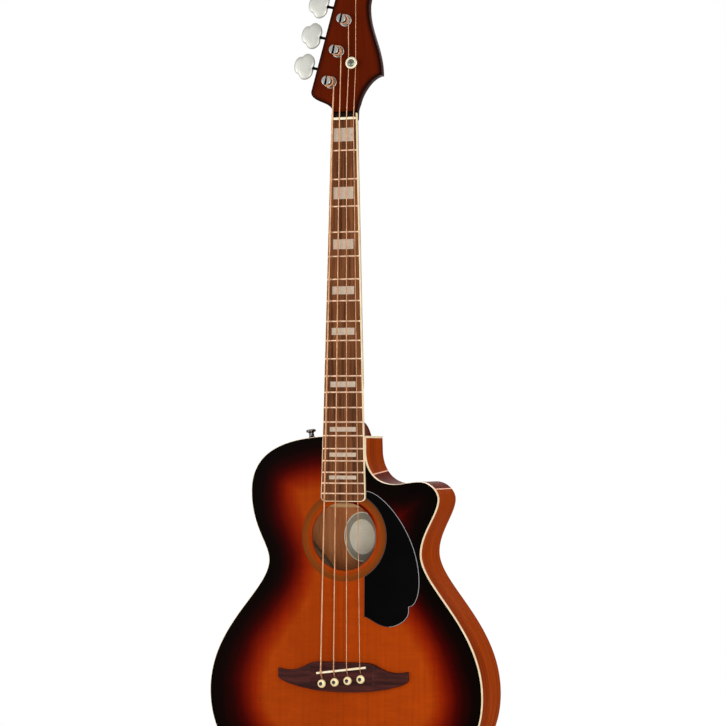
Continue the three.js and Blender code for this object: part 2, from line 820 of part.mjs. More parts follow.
// A disc-like shell whose sections each start at the rim, run out and back through the hub
function hubbedShell(sections) {
  const count = sections[0].length;
  const columns = sections.length;
  const positions = sections.flat().flatMap((point) => [point.x, point.y, point.z]);
  const index = [];
  for (let i = 0; i < columns; i += 1) {
    for (let k = 0; k < count; k += 1) {
      const [a, b] = [i * count + k, i * count + ((k + 1) % count)];
      const next = ((i + 1) % columns) * count;
      const [c, d] = [next + k, next + ((k + 1) % count)];
      index.push(a, c, b, b, c, d);
    }
  }
  const geometry = new THREE.BufferGeometry();
  geometry.setAttribute("position", new THREE.Float32BufferAttribute(positions, 3));
  geometry.setIndex(index);
  return closedMesh(geometry);
}

// How far the rim's first wall lies to one side at a height, for a bar of some width
function rimReach(z, side, width) {
  const { stations } = rim;
  let reach = Infinity;
  for (const level of [z - width / 2, z, z + width / 2]) {
    stations.forEach((from, i) => {
      const to = stations[(i + 1) % stations.length];
      if ((from.z - level) * (to.z - level) > 0 || from.z === to.z) return;
      const x = from.x + ((to.x - from.x) * (level - from.z)) / (to.z - from.z);
      if (x * side > 0) reach = Math.min(reach, x * side);
    });
  }
  return reach;
}

function backBraceGeometries() {
  const wall = sideInner + liningWidth + backBraceWallGap;
  const firstZ = fromJoin(backBraceBelowJoin);
  const step = (firstZ - tailZ - backBraceAboveTail) / (backBraceCount - 1);
  return Array.from({ length: backBraceCount }, (_, i) => {
    const z = firstZ - i * step;
    const [low, high] = [wall - rimReach(z, -1, backBraceWidth), rimReach(z, 1, backBraceWidth) - wall];
    return loft(backBraceStationShares.map((share, k) => {
      const x = low + (high - low) * share;
      const isEnd = k === 0 || k === backBraceStationShares.length - 1;
      const height = isEnd ? backBraceEndHeight : backBraceHeight;
      const foot = backInnerY(x, z) + backBraceSink;
      const crest = backInnerY(x, z) - height;
      const half = backBraceWidth / 2;
      return [
        new THREE.Vector3(x, foot, z - half),
        new THREE.Vector3(x, foot, z + half),
        new THREE.Vector3(x, crest + half, z + half),
        new THREE.Vector3(x, crest, z),
        new THREE.Vector3(x, crest + half, z - half),
      ];
    }));
  });
}

// A bar under the soundboard, lying along its own x axis before it is placed
function barGeometry(low, high, width, height) {
  const y = underTopY;
  const profile = [
    [low, y], [high, y], [high, y + braceEndHeight],
    [high - braceEndLength, y + height], [low + braceEndLength, y + height], [low, y + braceEndHeight],
  ].map(([x, depth]) => new THREE.Vector2(x, depth));
  return crossSlab(profile, -width / 2, width / 2);
}

function placedBar(geometry, x, z, degrees) {
  geometry.rotateY(-THREE.MathUtils.degToRad(degrees));
  geometry.translate(x, 0, z);
  return geometry;
}

// The crossed braces are half lapped: one gives its outer half and the other its inner half
const crossZ = soundholeZ - soundholeRadius - braceCrossBelowHole;
const braceTan = Math.tan(THREE.MathUtils.degToRad(braceTurn));
const braceCos = Math.cos(THREE.MathUtils.degToRad(braceTurn));
const braceInnerX = (z) => (crossZ - z) * braceTan - braceWidth / (2 * braceCos);

function crossBraceGeometry(side) {
  const angle = side * (90 - braceTurn);
  const [low, high] = side > 0 ? [-braceLowerReach, braceUpperReach] : [-braceUpperReach, braceLowerReach];
  const bar = placedBar(barGeometry(low, high, braceWidth, braceHeight), 0, crossZ, angle);
  const lapReach = braceWidth * 2;
  const middle = underTopY + braceHeight / 2;
  const [near, far] = side > 0
    ? [middle - jointGap / 2, underTopY + braceHeight + cutOverrun]
    : [underTopY - cutOverrun, middle + jointGap / 2];
  const half = braceWidth / 2 + jointGap;
  const lap = placedBar(box([-lapReach, near, -half], [lapReach, far, half]), 0, crossZ, -angle);
  return cut(bar, lap);
}

const bridgePlateFootZ = saddleMidZ - bridgePlateBelowSaddle;

function bridgePlateGeometry() {
  const top = saddleMidZ + bridgePlateAboveSaddle;
  const topHalf = braceInnerX(top) - bridgePlateTopToBrace;
  const footHalf = braceInnerX(bridgePlateFootZ) - bridgePlateFootToBrace;
  const outline = [
    [-topHalf, top], [topHalf, top], [footHalf, bridgePlateFootZ], [-footHalf, bridgePlateFootZ],
  ].map(([x, z]) => new THREE.Vector2(x, z));
  const plate = slab(outline, underTopY, underTopY + bridgePlateThickness);
  return cut(plate, ...pinHoleTools());
}

// Fretboard with its frets: one section for every change of height along the neck
const boardSection = (z, halfWidth, lift) => {
  const shares = [-1, -0.35, 0.35, 1];
  const top = shares.map((share) => {
    const x = halfWidth * share;
    return new THREE.Vector3(x, boardFaceY(x) - lift, z);
  });
  return [...top, new THREE.Vector3(halfWidth, -jointGap, z), new THREE.Vector3(-halfWidth, -jointGap, z)];
};

function fretboardGeometry() {
  const inset = boardBindingWidth + jointGap;
  const halfAt = (z) => boardHalfWidth(z) - inset;
  const rows = [];
  const add = (z, lift) => rows.push(boardSection(z, halfAt(z), lift));
  const seat = nutSeatDepth - boardThickness;
  add(boardBeyondNut, 0);
  add(nutThickness + jointGap, 0);
  const nutRow = (z) => {
    const half = halfAt(z);
    const points = boardSection(z, half, 0).map((point) => point.clone());
    points.slice(0, -2).forEach((point) => { point.y = seat + jointGap; });
    rows.push(points);
  };
  nutRow(nutThickness + jointGap);
  nutRow(-jointGap);
  add(-jointGap, 0);
  for (let fret = 1; fret <= fretCount; fret += 1) {
    const z = fretZ(fret);
    add(z + fretWidth / 2, 0);
    add(z + fretCrownWidth / 2, fretHeight);
    add(z - fretCrownWidth / 2, fretHeight);
    add(z - fretWidth / 2, 0);
  }
  const cornerRadius = boardCornerRadius - inset;
  const endZ = boardEndZ + inset;
  const cornerSteps = 4;
  for (let i = 0; i <= cornerSteps; i += 1) {
    const turn = (Math.PI / 2) * (i / cornerSteps);
    const z = endZ + cornerRadius * (1 - Math.sin(turn));
    rows.push(boardSection(z, halfAt(z) - cornerRadius * (1 - Math.cos(turn)), 0));
  }
  return loft(rows);
}

// The board's cream edging: down one side, round the end and up the other
function boardBindingGeometry() {
  const stations = [];
  const sideStations = (side, zs) => zs.forEach((z) =>
    stations.push({ x: side * boardHalfWidth(z), z, nx: -side, nz: 0 }));
  const upperZs = [boardBeyondNut, fretZ(fretsPerOctave / 2), fretZ(bodyJoinFret)];
  const cornerSteps = 4;
  const corner = (side, from, to) => {
    for (let i = from; i !== to; i += Math.sign(to - from)) {
      const turn = (Math.PI / 2) * (i / cornerSteps);
      const centreX = side * (boardHalfWidth(boardEndZ) - boardCornerRadius);
      const centreZ = boardEndZ + boardCornerRadius;
      stations.push({
        x: centreX + side * boardCornerRadius * Math.cos(turn),
        z: centreZ - boardCornerRadius * Math.sin(turn),
        nx: -side * Math.cos(turn),
        nz: Math.sin(turn),
      });
    }
  };
  sideStations(-1, upperZs);
  corner(-1, 0, cornerSteps + 1);
  for (const share of [-0.5, 0, 0.5]) {
    stations.push({ x: share * boardEndHalfWidth, z: boardEndZ, nx: 0, nz: 1 });
  }
  corner(1, cornerSteps, -1);
  sideStations(1, [...upperZs].reverse());
  return loft(stations.map((station) => rimSection(station, [
    [0, -jointGap], [0, (x) => boardFaceY(x)],
    [boardBindingWidth, (x) => boardFaceY(x)], [boardBindingWidth, -jointGap],
  ])));
}

// Where each string runs: ball, pin, saddle, nut, post
const nutTopY = -boardThickness - nutTopAboveBoard;
const nutRestY = -boardThickness - fretHeight - stringAboveFretAtNut;
const postLine = THREE.MathUtils.degToRad(postLineTurn);
const posts = stringNames.map((name, i) => ({
  name,
  x: firstPostX + i * postSpacing * Math.sin(postLine),
  z: firstPostZ + i * postSpacing * Math.cos(postLine),
}));
const nutX = (i) => (i - (stringNames.length - 1) / 2) * stringSpacingNut;
const retainerFootY = headFaceDrop - windingLowAboveFace;

function pinStretch(i) {
  const { x, z, saddleZ, radius } = pins[i];
  const crestY = -stringRestAboveTop - radius;
  const slideZ = z + pinHeadRadius + jointGap;
  const slideY = -bridgeThickness + jointGap + radius;
  const holeZ = z + pinFluteOffset;
  const ballY = underTopY + bridgePlateThickness + jointGap + ballRadius;
  const ballZ = z + pinShankRadius + jointGap + ballRadius;
  return [
    new THREE.Vector3(x, ballY, ballZ),
    new THREE.Vector3(x, 0, holeZ),
    new THREE.Vector3(x, slideY, slideZ),
    new THREE.Vector3(x, crestY, saddleZ),
  ];
}

function windingOf(i) {
  const radius = stringDiameters[i] / 2;
  return {
    radius: postWaistRadius + jointGap + radius,
    pitch: stringDiameters[i] + windingAirGap,
    lowY: headFaceDrop - windingLowAboveFace,
    turns: windingTurnShares[i],
  };
}

// The retainer stands between the two strings that it holds down
const alongString = (i, z) => {
  const leaveX = posts[i].x + windingOf(i).radius;
  return nutX(i) + ((leaveX - nutX(i)) * (z - nutThickness / 2)) / (posts[i].z - nutThickness / 2);
};
const retainerX = (alongString(2, retainerZ) + alongString(3, retainerZ)) / 2 - retainerTowardsBass;

function stringPath(i) {
  const radius = stringDiameters[i] / 2;
  const winding = windingOf(i);
  const post = posts[i];
  const points = pinStretch(i);
  const saddle = points[points.length - 1];
  const nutPoint = new THREE.Vector3(nutX(i), nutRestY - radius, nutThickness / 2);
  const leave = new THREE.Vector3(post.x + winding.radius, winding.lowY, post.z);
  const middle = saddle.clone().lerp(nutPoint, 1 / 2);
  points.push(middle, nutPoint);
  if (Math.abs(leave.x - retainerX) < retainerRadius) {
    for (const z of [retainerZ - retainerRadius, retainerZ + retainerRadius]) {
      const under = nutPoint.clone().lerp(leave, (z - nutPoint.z) / (leave.z - nutPoint.z));
      under.y = retainerFootY + jointGap + radius;
      points.push(under);
    }
  }
  const total = Math.round(loopSteps * winding.turns);
  for (let k = 0; k <= total; k += 1) {
    const turn = (2 * Math.PI * k) / loopSteps;
    points.push(new THREE.Vector3(
      post.x + winding.radius * Math.cos(turn),
      winding.lowY - (winding.pitch * k) / loopSteps,
      post.z + winding.radius * Math.sin(turn),
    ));
  }
  return points;
}

// Cuts a string's own channel, wide enough to hold it with the joint gap
function stringCutter(i, lastPoint) {
  const sides = 6;
  const radius = (stringDiameters[i] / 2 + jointGap) / Math.cos(Math.PI / sides);
  const path = pinStretch(i).slice(0, lastPoint + 1);
  const deeper = path[0].clone();
  deeper.y += cutOverrun;
  return tubeAlong([deeper, ...path], radius, sides);
}

function stringGeometry(i) {
  const radius = stringDiameters[i] / 2;
  const wire = tubeAlong(stringPath(i), radius, wireSides);
  const [start] = pinStretch(i);
  const ball = turned([[0, 0], [ballRadius, 0], [ballRadius, ballLength], [0, ballLength]], 8);
  ball.rotateZ(Math.PI / 2);
  ball.translate(start.x + ballLength / 2, start.y, start.z);
  return join(wire, ball);
}

// The least air between one loop of a winding and the next, or the stretch that leads into it
function leastLoopGap(i) {
  const path = stringPath(i);
  const wound = Math.round(loopSteps * windingTurnShares[i]) + 1;
  const loops = path.slice(-wound);
  const lead = path[path.length - wound - 1];
  const runIn = Array.from({ length: loopSteps }, (_, k) =>
    lead.clone().lerp(loops[0], 1 - (k + 1) * stringDiameters[i] / 4 / lead.distanceTo(loops[0])));
  const line = [...runIn.reverse(), ...loops];
  let least = Infinity;
  line.forEach((point, a) => {
    for (let b = Math.max(a, loopSteps) + loopSteps / 2; b < line.length; b += 1) {
      least = Math.min(least, point.distanceTo(line[b]) - stringDiameters[i]);
    }
  });
  return least;
}

function nutGeometry() {
  const half = boardHalfWidth(0) - boardBindingWidth - jointGap;
  const seatY = nutSeatDepth - boardThickness;
  const round = nutCornerRadius;
  const profile = [
    [-half, seatY], [half, seatY], [half, nutTopY + round], [half - round, nutTopY],
    [-half + round, nutTopY], [-half, nutTopY + round],
  ].map(([x, y]) => new THREE.Vector2(x, y));
  const cutters = stringNames.map((_, i) => {
    const radius = stringDiameters[i] / 2;
    const sides = 6;
    const y = nutRestY - radius;
    const reach = nutThickness + cutOverrun;
    const path = [new THREE.Vector3(nutX(i), y, -cutOverrun), new THREE.Vector3(nutX(i), y, reach)];
    return tubeAlong(path, (radius + jointGap) / Math.cos(Math.PI / sides), sides);
  });
  return cut(crossSlab(profile, 0, nutThickness), ...cutters);
}

// Bridge, its saddle and its pins
function bridgeOutline() {
  const tipZ = saddleMidZ + bridgeTipAboveSaddle;
  const crest = new THREE.Vector2(bridgeCrestHalfWidth, bridgeCrestZ);
  const shoulderX = bridgeHalfWidth - bridgeShoulderInset;
  const shoulder = new THREE.Vector2(shoulderX, saddleMidZ - bridgeShoulderBelowSaddle);
  const tip = new THREE.Vector2(bridgeHalfWidth, tipZ);
  const tipFoot = new THREE.Vector2(bridgeHalfWidth, tipZ - bridgeTipDepth + bridgeTipRound);
  const rightTop = bendBetween(shoulder, crest, false, false, bridgeCrestHandleShares);
  const rightTip = bendBetween(tip, shoulder, false, false, bridgeTipHandleShares);
  const foot = new THREE.Vector2(0, bridgeFootZ);
  const rightFoot = bendBetween(foot, tipFoot, false, true, bridgeFootHandleShares);
  const right = [...rightFoot.getPoints(8), ...rightTip.getPoints(3), ...rightTop.getPoints(6).slice(1)];
  const left = right.slice(1).reverse().map((point) => new THREE.Vector2(-point.x, point.y));
  return [...right, ...left];
}

function bridgeGeometry() {
  const front = -bridgeThickness;
  const half = bridgeHalfWidth + cutOverrun;
  const height = [
    [-half, -jointGap], [half, -jointGap], [half, -bridgeWingThickness],
    [bridgeHalfWidth, -bridgeWingThickness], [bridgeBlockHalfWidth, front + bridgeEdgeRadius],
    [bridgeBlockHalfWidth - bridgeEdgeRadius, front], [-bridgeBlockHalfWidth + bridgeEdgeRadius, front],
    [-bridgeBlockHalfWidth, front + bridgeEdgeRadius], [-bridgeHalfWidth, -bridgeWingThickness],
    [-half, -bridgeWingThickness],
  ].map(([x, y]) => new THREE.Vector2(x, y));
  const plan = slab(bridgeOutline(), front - cutOverrun, 0);
  const profile = crossSlab(height, bridgeFootZ - cutOverrun, bridgeCrestZ + cutOverrun);
  const slot = saddleBlank(saddleHalfLength + jointGap, saddleThickness / 2 + jointGap, -jointGap);
  return cut(overlap(plan, profile), slot, ...pinHoleTools());
}

const saddleFootY = -bridgeThickness + saddleSlotDepth;
const saddleTurn = Math.atan2(saddleSlant, 2 * saddleHalfLength);

function saddleBlank(halfLength, halfThickness, lift) {
  const shares = [-1, -0.75, -0.5, -0.25, 0, 0.25, 0.5, 0.75, 1];
  const crest = shares.map((share) => {
    const drop = crownDrop(share * saddleHalfLength, saddleCrownRadius);
    return new THREE.Vector2(share * halfLength, lift - stringRestAboveTop + drop);
  });
  const foot = [1, -1].map((side) => new THREE.Vector2(side * halfLength, saddleFootY + jointGap));
  const blank = crossSlab([...crest, ...foot], -halfThickness, halfThickness);
  blank.rotateY(-saddleTurn);
  blank.translate(0, 0, saddleMidZ);
  return blank;
}

function saddleGeometry() {
  const blank = saddleBlank(saddleHalfLength, saddleThickness / 2, jointGap);
  const reach = saddleHalfLength + cutOverrun;
  const trim = box([-reach, saddleFootY, saddleMidZ - reach], [reach, 0, saddleMidZ + reach]);
  const cutters = stringNames.map((_, i) => {
    const path = stringPath(i).slice(2, 5);
    const sides = 6;
    return tubeAlong(path, (stringDiameters[i] / 2 + jointGap) / Math.cos(Math.PI / sides), sides);
  });
  return cut(blank, trim, ...cutters);
}

function pinGeometry(i) {
  const { x, z } = pins[i];
  const foot = -bridgeThickness - jointGap;
  const rimY = foot - pinHeadHeight / 3;
  const domeY = foot - pinHeadHeight;
  const pin = turned([
    [0, domeY + pinDotDepth], [pinDotRadius, domeY + pinDotDepth], [pinDotRadius, domeY],
    [pinHeadRadius * pinDomeShares[0], domeY + pinHeadHeight * pinDomeShares[1]],
    [pinHeadRadius, rimY], [pinHeadRadius, foot],
    [pinShankRadius, foot], [pinTipRadius, foot + pinShankLength - pinTipRadius],
    [pinTipRadius / 2, foot + pinShankLength], [0, foot + pinShankLength],
  ], 9);
  pin.translate(x, 0, z);
  return cut(pin, stringCutter(i, 3));
}

// Pickguard: its inner edge follows the rosette
function guardOutline() {
  const centre = new THREE.Vector2(0, soundholeZ);
  const hollow = rosetteOuterRadius + jointGap * 2;
  const room = soundholeZ - bridgeCrestZ;
  const at = (x, share) => new THREE.Vector2(x, soundholeZ - room * share);
  const tipZ = soundholeZ + rosetteOuterRadius + guardTipAboveRosette;
  const tip = new THREE.Vector2(boardHalfWidth(tipZ) + jointGap * 2, tipZ);
  const flank = at(guardFlankX, guardFlankShare);
  const toe = at(guardToeX, guardToeShare);
  const notch = new THREE.Vector2(toe.x, toe.y - guardNotch);
  const foot = at(guardFootX, guardFootShare);
  const heel = at(guardLeftX, guardHeelShare);
  const arcStart = Math.asin(Math.min(guardLeftX / hollow, 1));
  const arcEnd = Math.PI - Math.asin(Math.min(tip.x / hollow, 1));
  const arcSteps = 12;
  const inner = Array.from({ length: arcSteps + 1 }, (_, i) => {
    const turn = arcStart + (arcEnd - arcStart) * (i / arcSteps);
    return new THREE.Vector2(centre.x + hollow * Math.sin(turn), centre.y - hollow * Math.cos(turn));
  });
  const outer = [
    ...bendBetween(tip, flank, false, true, guardFlankHandleShares).getPoints(9),
    ...bendBetween(flank, toe, true, false, guardToeHandleShares).getPoints(5).slice(1),
    ...bendBetween(notch, foot, true, false, guardFootHandleShares).getPoints(5),
    ...bendBetween(foot, heel, false, false, guardHeelHandleShares).getPoints(4).slice(1),
  ];
  return [...inner, ...outer];
}

function guardGeometry() {
  const shape = new THREE.Shape(guardOutline());
  const plate = new THREE.ExtrudeGeometry(shape, {
    depth: guardThickness - 2 * (guardBevel / 2),
    bevelEnabled: true,
    bevelThickness: guardBevel / 2,
    bevelSize: guardBevel / 2,
    bevelOffset: -guardBevel / 2,
    bevelSegments: 1,
  });
  plate.rotateX(Math.PI / 2);
  plate.translate(0, -jointGap - guardBevel / 2, 0);
  return closedMesh(plate);
}

// Neck: half-round sections; the heel's are drawn in below the board and end in a flat cap
function neckSection(z, halfWidth, depth, capHalf, blend) {
  const steps = 16;
  const sideSteps = 6;
  return Array.from({ length: steps + 1 }, (_, i) => {
    const turn = (Math.PI * i) / steps;
    const fromEdge = Math.min(i, steps - i);
    const hand = i < steps / 2 ? 1 : -1;
    const down = Math.min(fromEdge / sideSteps, 1);
    const across = fromEdge > sideSteps ? (steps / 2 - fromEdge) / (steps / 2 - sideSteps) : 1;
    const flare = (halfWidth - capHalf) * (1 - down) ** heelFlarePower;
    const roundX = halfWidth * Math.cos(turn);
    const roundY = depth * Math.sin(turn);
    return new THREE.Vector3(
      roundX + (hand * (capHalf * across + flare) - roundX) * blend,
      roundY + (depth * down - roundY) * blend,
      z,
    );
  });
}

function neckStations() {
  const heelStart = joinZ + heelLength;
  const straight = [headBackRampLength, 0, heelStart / 3, (2 * heelStart) / 3].map((z) => {
    const share = Math.max(z, 0) / headBackRampLength;
    const along = Math.min(z, 0) / heelStart;
    const shaft = neckThicknessAtNut + (neckThicknessAtHeel - neckThicknessAtNut) * along;
    const depth = shaft + (headFaceDrop + headThickness - shaft) * share;
    const half = z > 0 ? neckToHeadHalfWidth : boardHalfWidth(z);
    return neckSection(z, half, depth, 0, 0);
  });
  const heel = heelAlongShares.map((share, i) => {
    const z = heelStart + (joinZ + jointGap - heelStart) * share;
    const depth = neckThicknessAtHeel + (heelDepth - neckThicknessAtHeel) * heelDepthShares[i];
    const capHalf = heelCapHalfWidth * heelCapShares[i];
    return neckSection(z, boardHalfWidth(z), depth, capHalf, heelBlendShares[i]);
  });
  return [...straight, ...heel];
}

function headOutline() {
  const at = (x, z) => new THREE.Vector2(x, z);
  const bend = (a, b, aUp, bUp, shares, steps) => bendBetween(a, b, aUp, bUp, shares).getPoints(steps);
  const bassWaist = at(-headWaistBassX, headWaistZ);
  const bassEar = at(-headEarBassX, headEarBassZ);
  const trebleWaist = at(headWaistTrebleX, headWaistZ);
  const trebleEar = at(headEarTrebleX, headEarTrebleZ);
  const bassTip = at(-headTipBassX, headTipZ);
  const trebleNeck = at(headNeckTrebleX, headNeckTrebleZ);
  const curl = at(headTopX + headTopHalfWidth, headCurlZ);
  const top = at(headTopX, headTopZ);
  return [
    at(-boardHalfWidth(0), -cutOverrun),
    at(boardHalfWidth(0), -cutOverrun),
    ...bend(trebleWaist, trebleEar, true, false, [0.45, 0.42], 7),
    ...bend(trebleEar, trebleNeck, true, true, [0.4, 0.35], 5).slice(1),
    ...bend(trebleNeck, curl, true, true, [0.35, 0.5], 4).slice(1),
    ...bend(curl, top, true, false, [0.6, 0.6], 4).slice(1),
    ...bend(top, bassTip, false, true, [0.75, 0.55], 4).slice(1),
    ...bend(bassEar, bassWaist, true, true, [0.55, 0.5], 7),
  ];
}

// The headstock's face in side view: it steps down behind the fretboard
function headFacePoints() {
  const start = boardBeyondNut + jointGap;
  const rampShares = [[0, 0], [0.15, 0.45], [0.4, 0.75], [0.7, 0.94], [1, 1]];
  const ramp = rampShares.map(([along, down]) => [headFaceDrop * down, start + headRampLength * along]);
  return [...ramp, [headFaceDrop, headTopZ + cutOverrun]];
}

// The headstock: its outline meets that side view
function headGeometry() {
  const back = headFaceDrop + headThickness;
  const end = headTopZ + cutOverrun;
  const profile = [
    [0, 0], ...headFacePoints(),
    [back, end], [back, headBackRampLength], [headFaceDrop + headEdgeAtNut, 0],
  ].map(([y, z]) => new THREE.Vector2(y, z));
  const wide = headEarBassX + cutOverrun;
  return overlap(slab(headOutline(), -cutOverrun, back + cutOverrun), sideSlab(profile, -wide, wide));
}

// The room in front of the headstock's face, which the neck's shaft stays out of
function headFaceRoom() {
  const face = headFacePoints();
  const profile = [
    [-cutOverrun, face[0][1]], ...face, [-cutOverrun, face[face.length - 1][1]],
  ].map(([y, z]) => new THREE.Vector2(y, z));
  const wide = headEarBassX + cutOverrun;
  return sideSlab(profile, -wide, wide);
}

function neckGeometry() {
  const sides = 12;
  const holeRadius = (bushingBarrelRadius + jointGap) / Math.cos(Math.PI / sides);
  const headBack = headFaceDrop + headThickness;
  const postHoles = posts.map(({ x, z }) =>
    slab(circleOf(x, z, holeRadius, sides), -cutOverrun, headBack + cutOverrun));
  const screwHole = circleOf(retainerX, retainerZ, retainerScrewRadius + jointGap, 10);
  const retainerHole = slab(screwHole, 0, headFaceDrop + headThickness / 2);
  const rodBore = rodSolid(rodRadius + jointGap, -rodStartBelowNut + jointGap, joinZ - cutOverrun);
  const shaft = cut(loft(neckStations()), headFaceRoom());
  return cut(join(shaft, headGeometry()), rodBore, ...postHoles, retainerHole);
}

// Truss rod: it runs from below the nut through the heel to its adjusting nut in the body
function rodSolid(radius, zHigh, zLow) {
  const rod = turned([[0, zLow], [radius, zLow], [radius, zHigh], [0, zHigh]], 8);
  rod.rotateX(Math.PI / 2);
  rod.translate(0, soundboardThickness + rodNutBelowTop + rodNutRadius, 0);
  return rod;
}
const rodEndZ = neckBlock.low[1] - jointGap;

function trussRodGeometry() {
  const rod = rodSolid(rodRadius, -rodStartBelowNut, rodEndZ - rodNutLength / 2);
  const nut = rodSolid(rodNutRadius, rodEndZ, rodEndZ - rodNutLength);
  const nutFootZ = rodEndZ - rodNutLength;
  const socket = rodSolid(rodRadius / 2, nutFootZ + rodRadius, nutFootZ - cutOverrun);
  return cut(join(rod, nut), socket);
}

const rodClearance = () =>
  rodSolid(rodRadius + jointGap, joinZ + cutOverrun, neckBlock.low[1] - cutOverrun);

// Tuner sizes that follow from the gears. The tuner's own x axis runs along the key's shaft.
const wheelPitchRadius = (wheelTeeth * gearModule) / 2;
const gearCentres = wheelPitchRadius + wormPitchRadius;
const threadPitch = Math.PI * gearModule;
const wormTipRadius = wormPitchRadius + toothAddendum;
const wormRootRadius = wormPitchRadius - toothDedendum;
const headBackY = headFaceDrop + headThickness;
const plateFrontY = headBackY + jointGap;
const plateBackY = plateFrontY + tunerPlateThickness;
const shaftY = plateBackY + wormLift + wormTipRadius;
const wheelFrontY = shaftY - wheelThickness / 2;
const wheelBackY = shaftY + wheelThickness / 2;
const wormHalfLength = (wormTurnShare * threadPitch) / 2;
const earStart = wormHalfLength + threadPitch / 4 + earAirGap;
const wheelTipRadius = wheelPitchRadius + toothAddendum;
const earHalfWidth = gearCentres - Math.sqrt((wheelTipRadius + earToWheel) ** 2 - earStart ** 2);
const keyMeanRadius = (postSpacing - keyAirGap) / 2;
const flankSlope = Math.tan(THREE.MathUtils.degToRad(toothFlankTurn));

// Half the width of a tooth at a height over its pitch line
const toothHalfWidth = (height) => threadPitch / 4 - meshClearance - height * flankSlope;

// The wheel's slanted teeth follow the worm's lead; a gap faces the worm at mid-thickness
function wheelGeometry() {
  const twistPerMm = threadPitch / (2 * Math.PI * wormPitchRadius) / wheelPitchRadius;
  const heights = [-toothDedendum, toothAddendum];
  const section = (y) => {
    const points = [];
    for (let tooth = 0; tooth < wheelTeeth; tooth += 1) {
      const centre = (2 * Math.PI * (tooth + 1 / 2)) / wheelTeeth + (y - shaftY) * twistPerMm;
      const flank = heights.map((height) => [height, toothHalfWidth(height) / wheelPitchRadius]);
      const corners = [
        [flank[0][0], -flank[0][1]], [flank[1][0], -flank[1][1]],
        [flank[1][0], flank[1][1]], [flank[0][0], flank[0][1]],
      ];
      for (const [height, turn] of corners) {
        const radius = wheelPitchRadius + height;
        points.push(new THREE.Vector3(
          radius * Math.sin(centre + turn), y, radius * Math.cos(centre + turn),
        ));
      }
    }
    return points;
  };
  const rimBody = loft([section(wheelFrontY), section(wheelBackY)]);
  const hubFoot = plateBackY + jointGap;
  const hubBack = wheelFrontY + jointGap;
  const hub = turned([[0, hubFoot], [wheelHubRadius, hubFoot], [wheelHubRadius, hubBack], [0, hubBack]], 10);
  const boreSides = 8;
  const boreRadius = (postHubRadius + jointGap) / Math.cos(Math.PI / boreSides);
  const bore = slab(circleOf(0, 0, boreRadius, boreSides), hubFoot - cutOverrun, wheelBackY + cutOverrun);
  return cut(join(rimBody, hub), bore);
}

// The worm's thread: a flank profile carried along a helix about the shaft
function threadGeometry() {
  const stepsPerTurn = 10;
  const steps = Math.round(stepsPerTurn * wormTurnShare);
  const rootSink = jointGap;
  const profile = [
    [-toothHalfWidth(-toothDedendum - rootSink), wormRootRadius - rootSink],
    [-toothHalfWidth(toothAddendum), wormTipRadius],
    [toothHalfWidth(toothAddendum), wormTipRadius],
    [toothHalfWidth(-toothDedendum - rootSink), wormRootRadius - rootSink],
  ];
  const sections = Array.from({ length: steps + 1 }, (_, i) => {
    const turn = ((i - steps / 2) / stepsPerTurn) * 2 * Math.PI;
    return profile.map(([shift, radius]) => new THREE.Vector3(
      (threadPitch * turn) / (2 * Math.PI) + shift,
      shaftY + radius * Math.sin(turn),
      gearCentres - radius * Math.cos(turn),
    ));
  });
  return loft(sections);
}

function shaftPiece(radius, xLow, xHigh, sides) {
  const piece = turned([[0, xLow], [radius, xLow], [radius, xHigh], [0, xHigh]], sides);
  piece.rotateZ(-Math.PI / 2);
  piece.translate(0, shaftY, gearCentres);
  return piece;
}

// The key's blade: three lobes and a waist where the shaft enters
function keyBladeGeometry() {
  const innerReach = keyMeanRadius * keyLengthShare * keyInnerShare;
  const centreX = -(keyStart + innerReach);
  const count = 18;
  const outline = Array.from({ length: count }, (_, i) => {
    const turn = (2 * Math.PI * i) / count;
    const radius = keyMeanRadius * (1 + keyLobeShare * Math.cos(3 * (turn - Math.PI)));
    return new THREE.Vector2(
      centreX + radius * keyLengthShare * Math.cos(turn), gearCentres + radius * Math.sin(turn),
    );
  });
  const blade = new THREE.ExtrudeGeometry(new THREE.Shape(outline), {
    depth: keyThickness - 2 * keyBevel,
    bevelEnabled: true,
    bevelThickness: keyBevel,
    bevelSize: keyBevel,
    bevelOffset: -keyBevel,
    bevelSegments: 1,
  });
  blade.rotateX(Math.PI / 2);
  blade.translate(0, shaftY + keyThickness / 2 - keyBevel, 0);
  return closedMesh(blade);
}

function keyGeometry() {
  const collarEnd = -keyStart - keyCollarLength;
  const shaftEnd = earStart + earThickness + shaftEndBeyondEar;
  const shaft = shaftPiece(wormRootRadius, collarEnd, shaftEnd, 8);
  const collar = shaftPiece(keyCollarRadius, collarEnd, -keyStart + keyCollarLength / 2, 8);
  return join(shaft, threadGeometry(), collar, keyBladeGeometry());
}

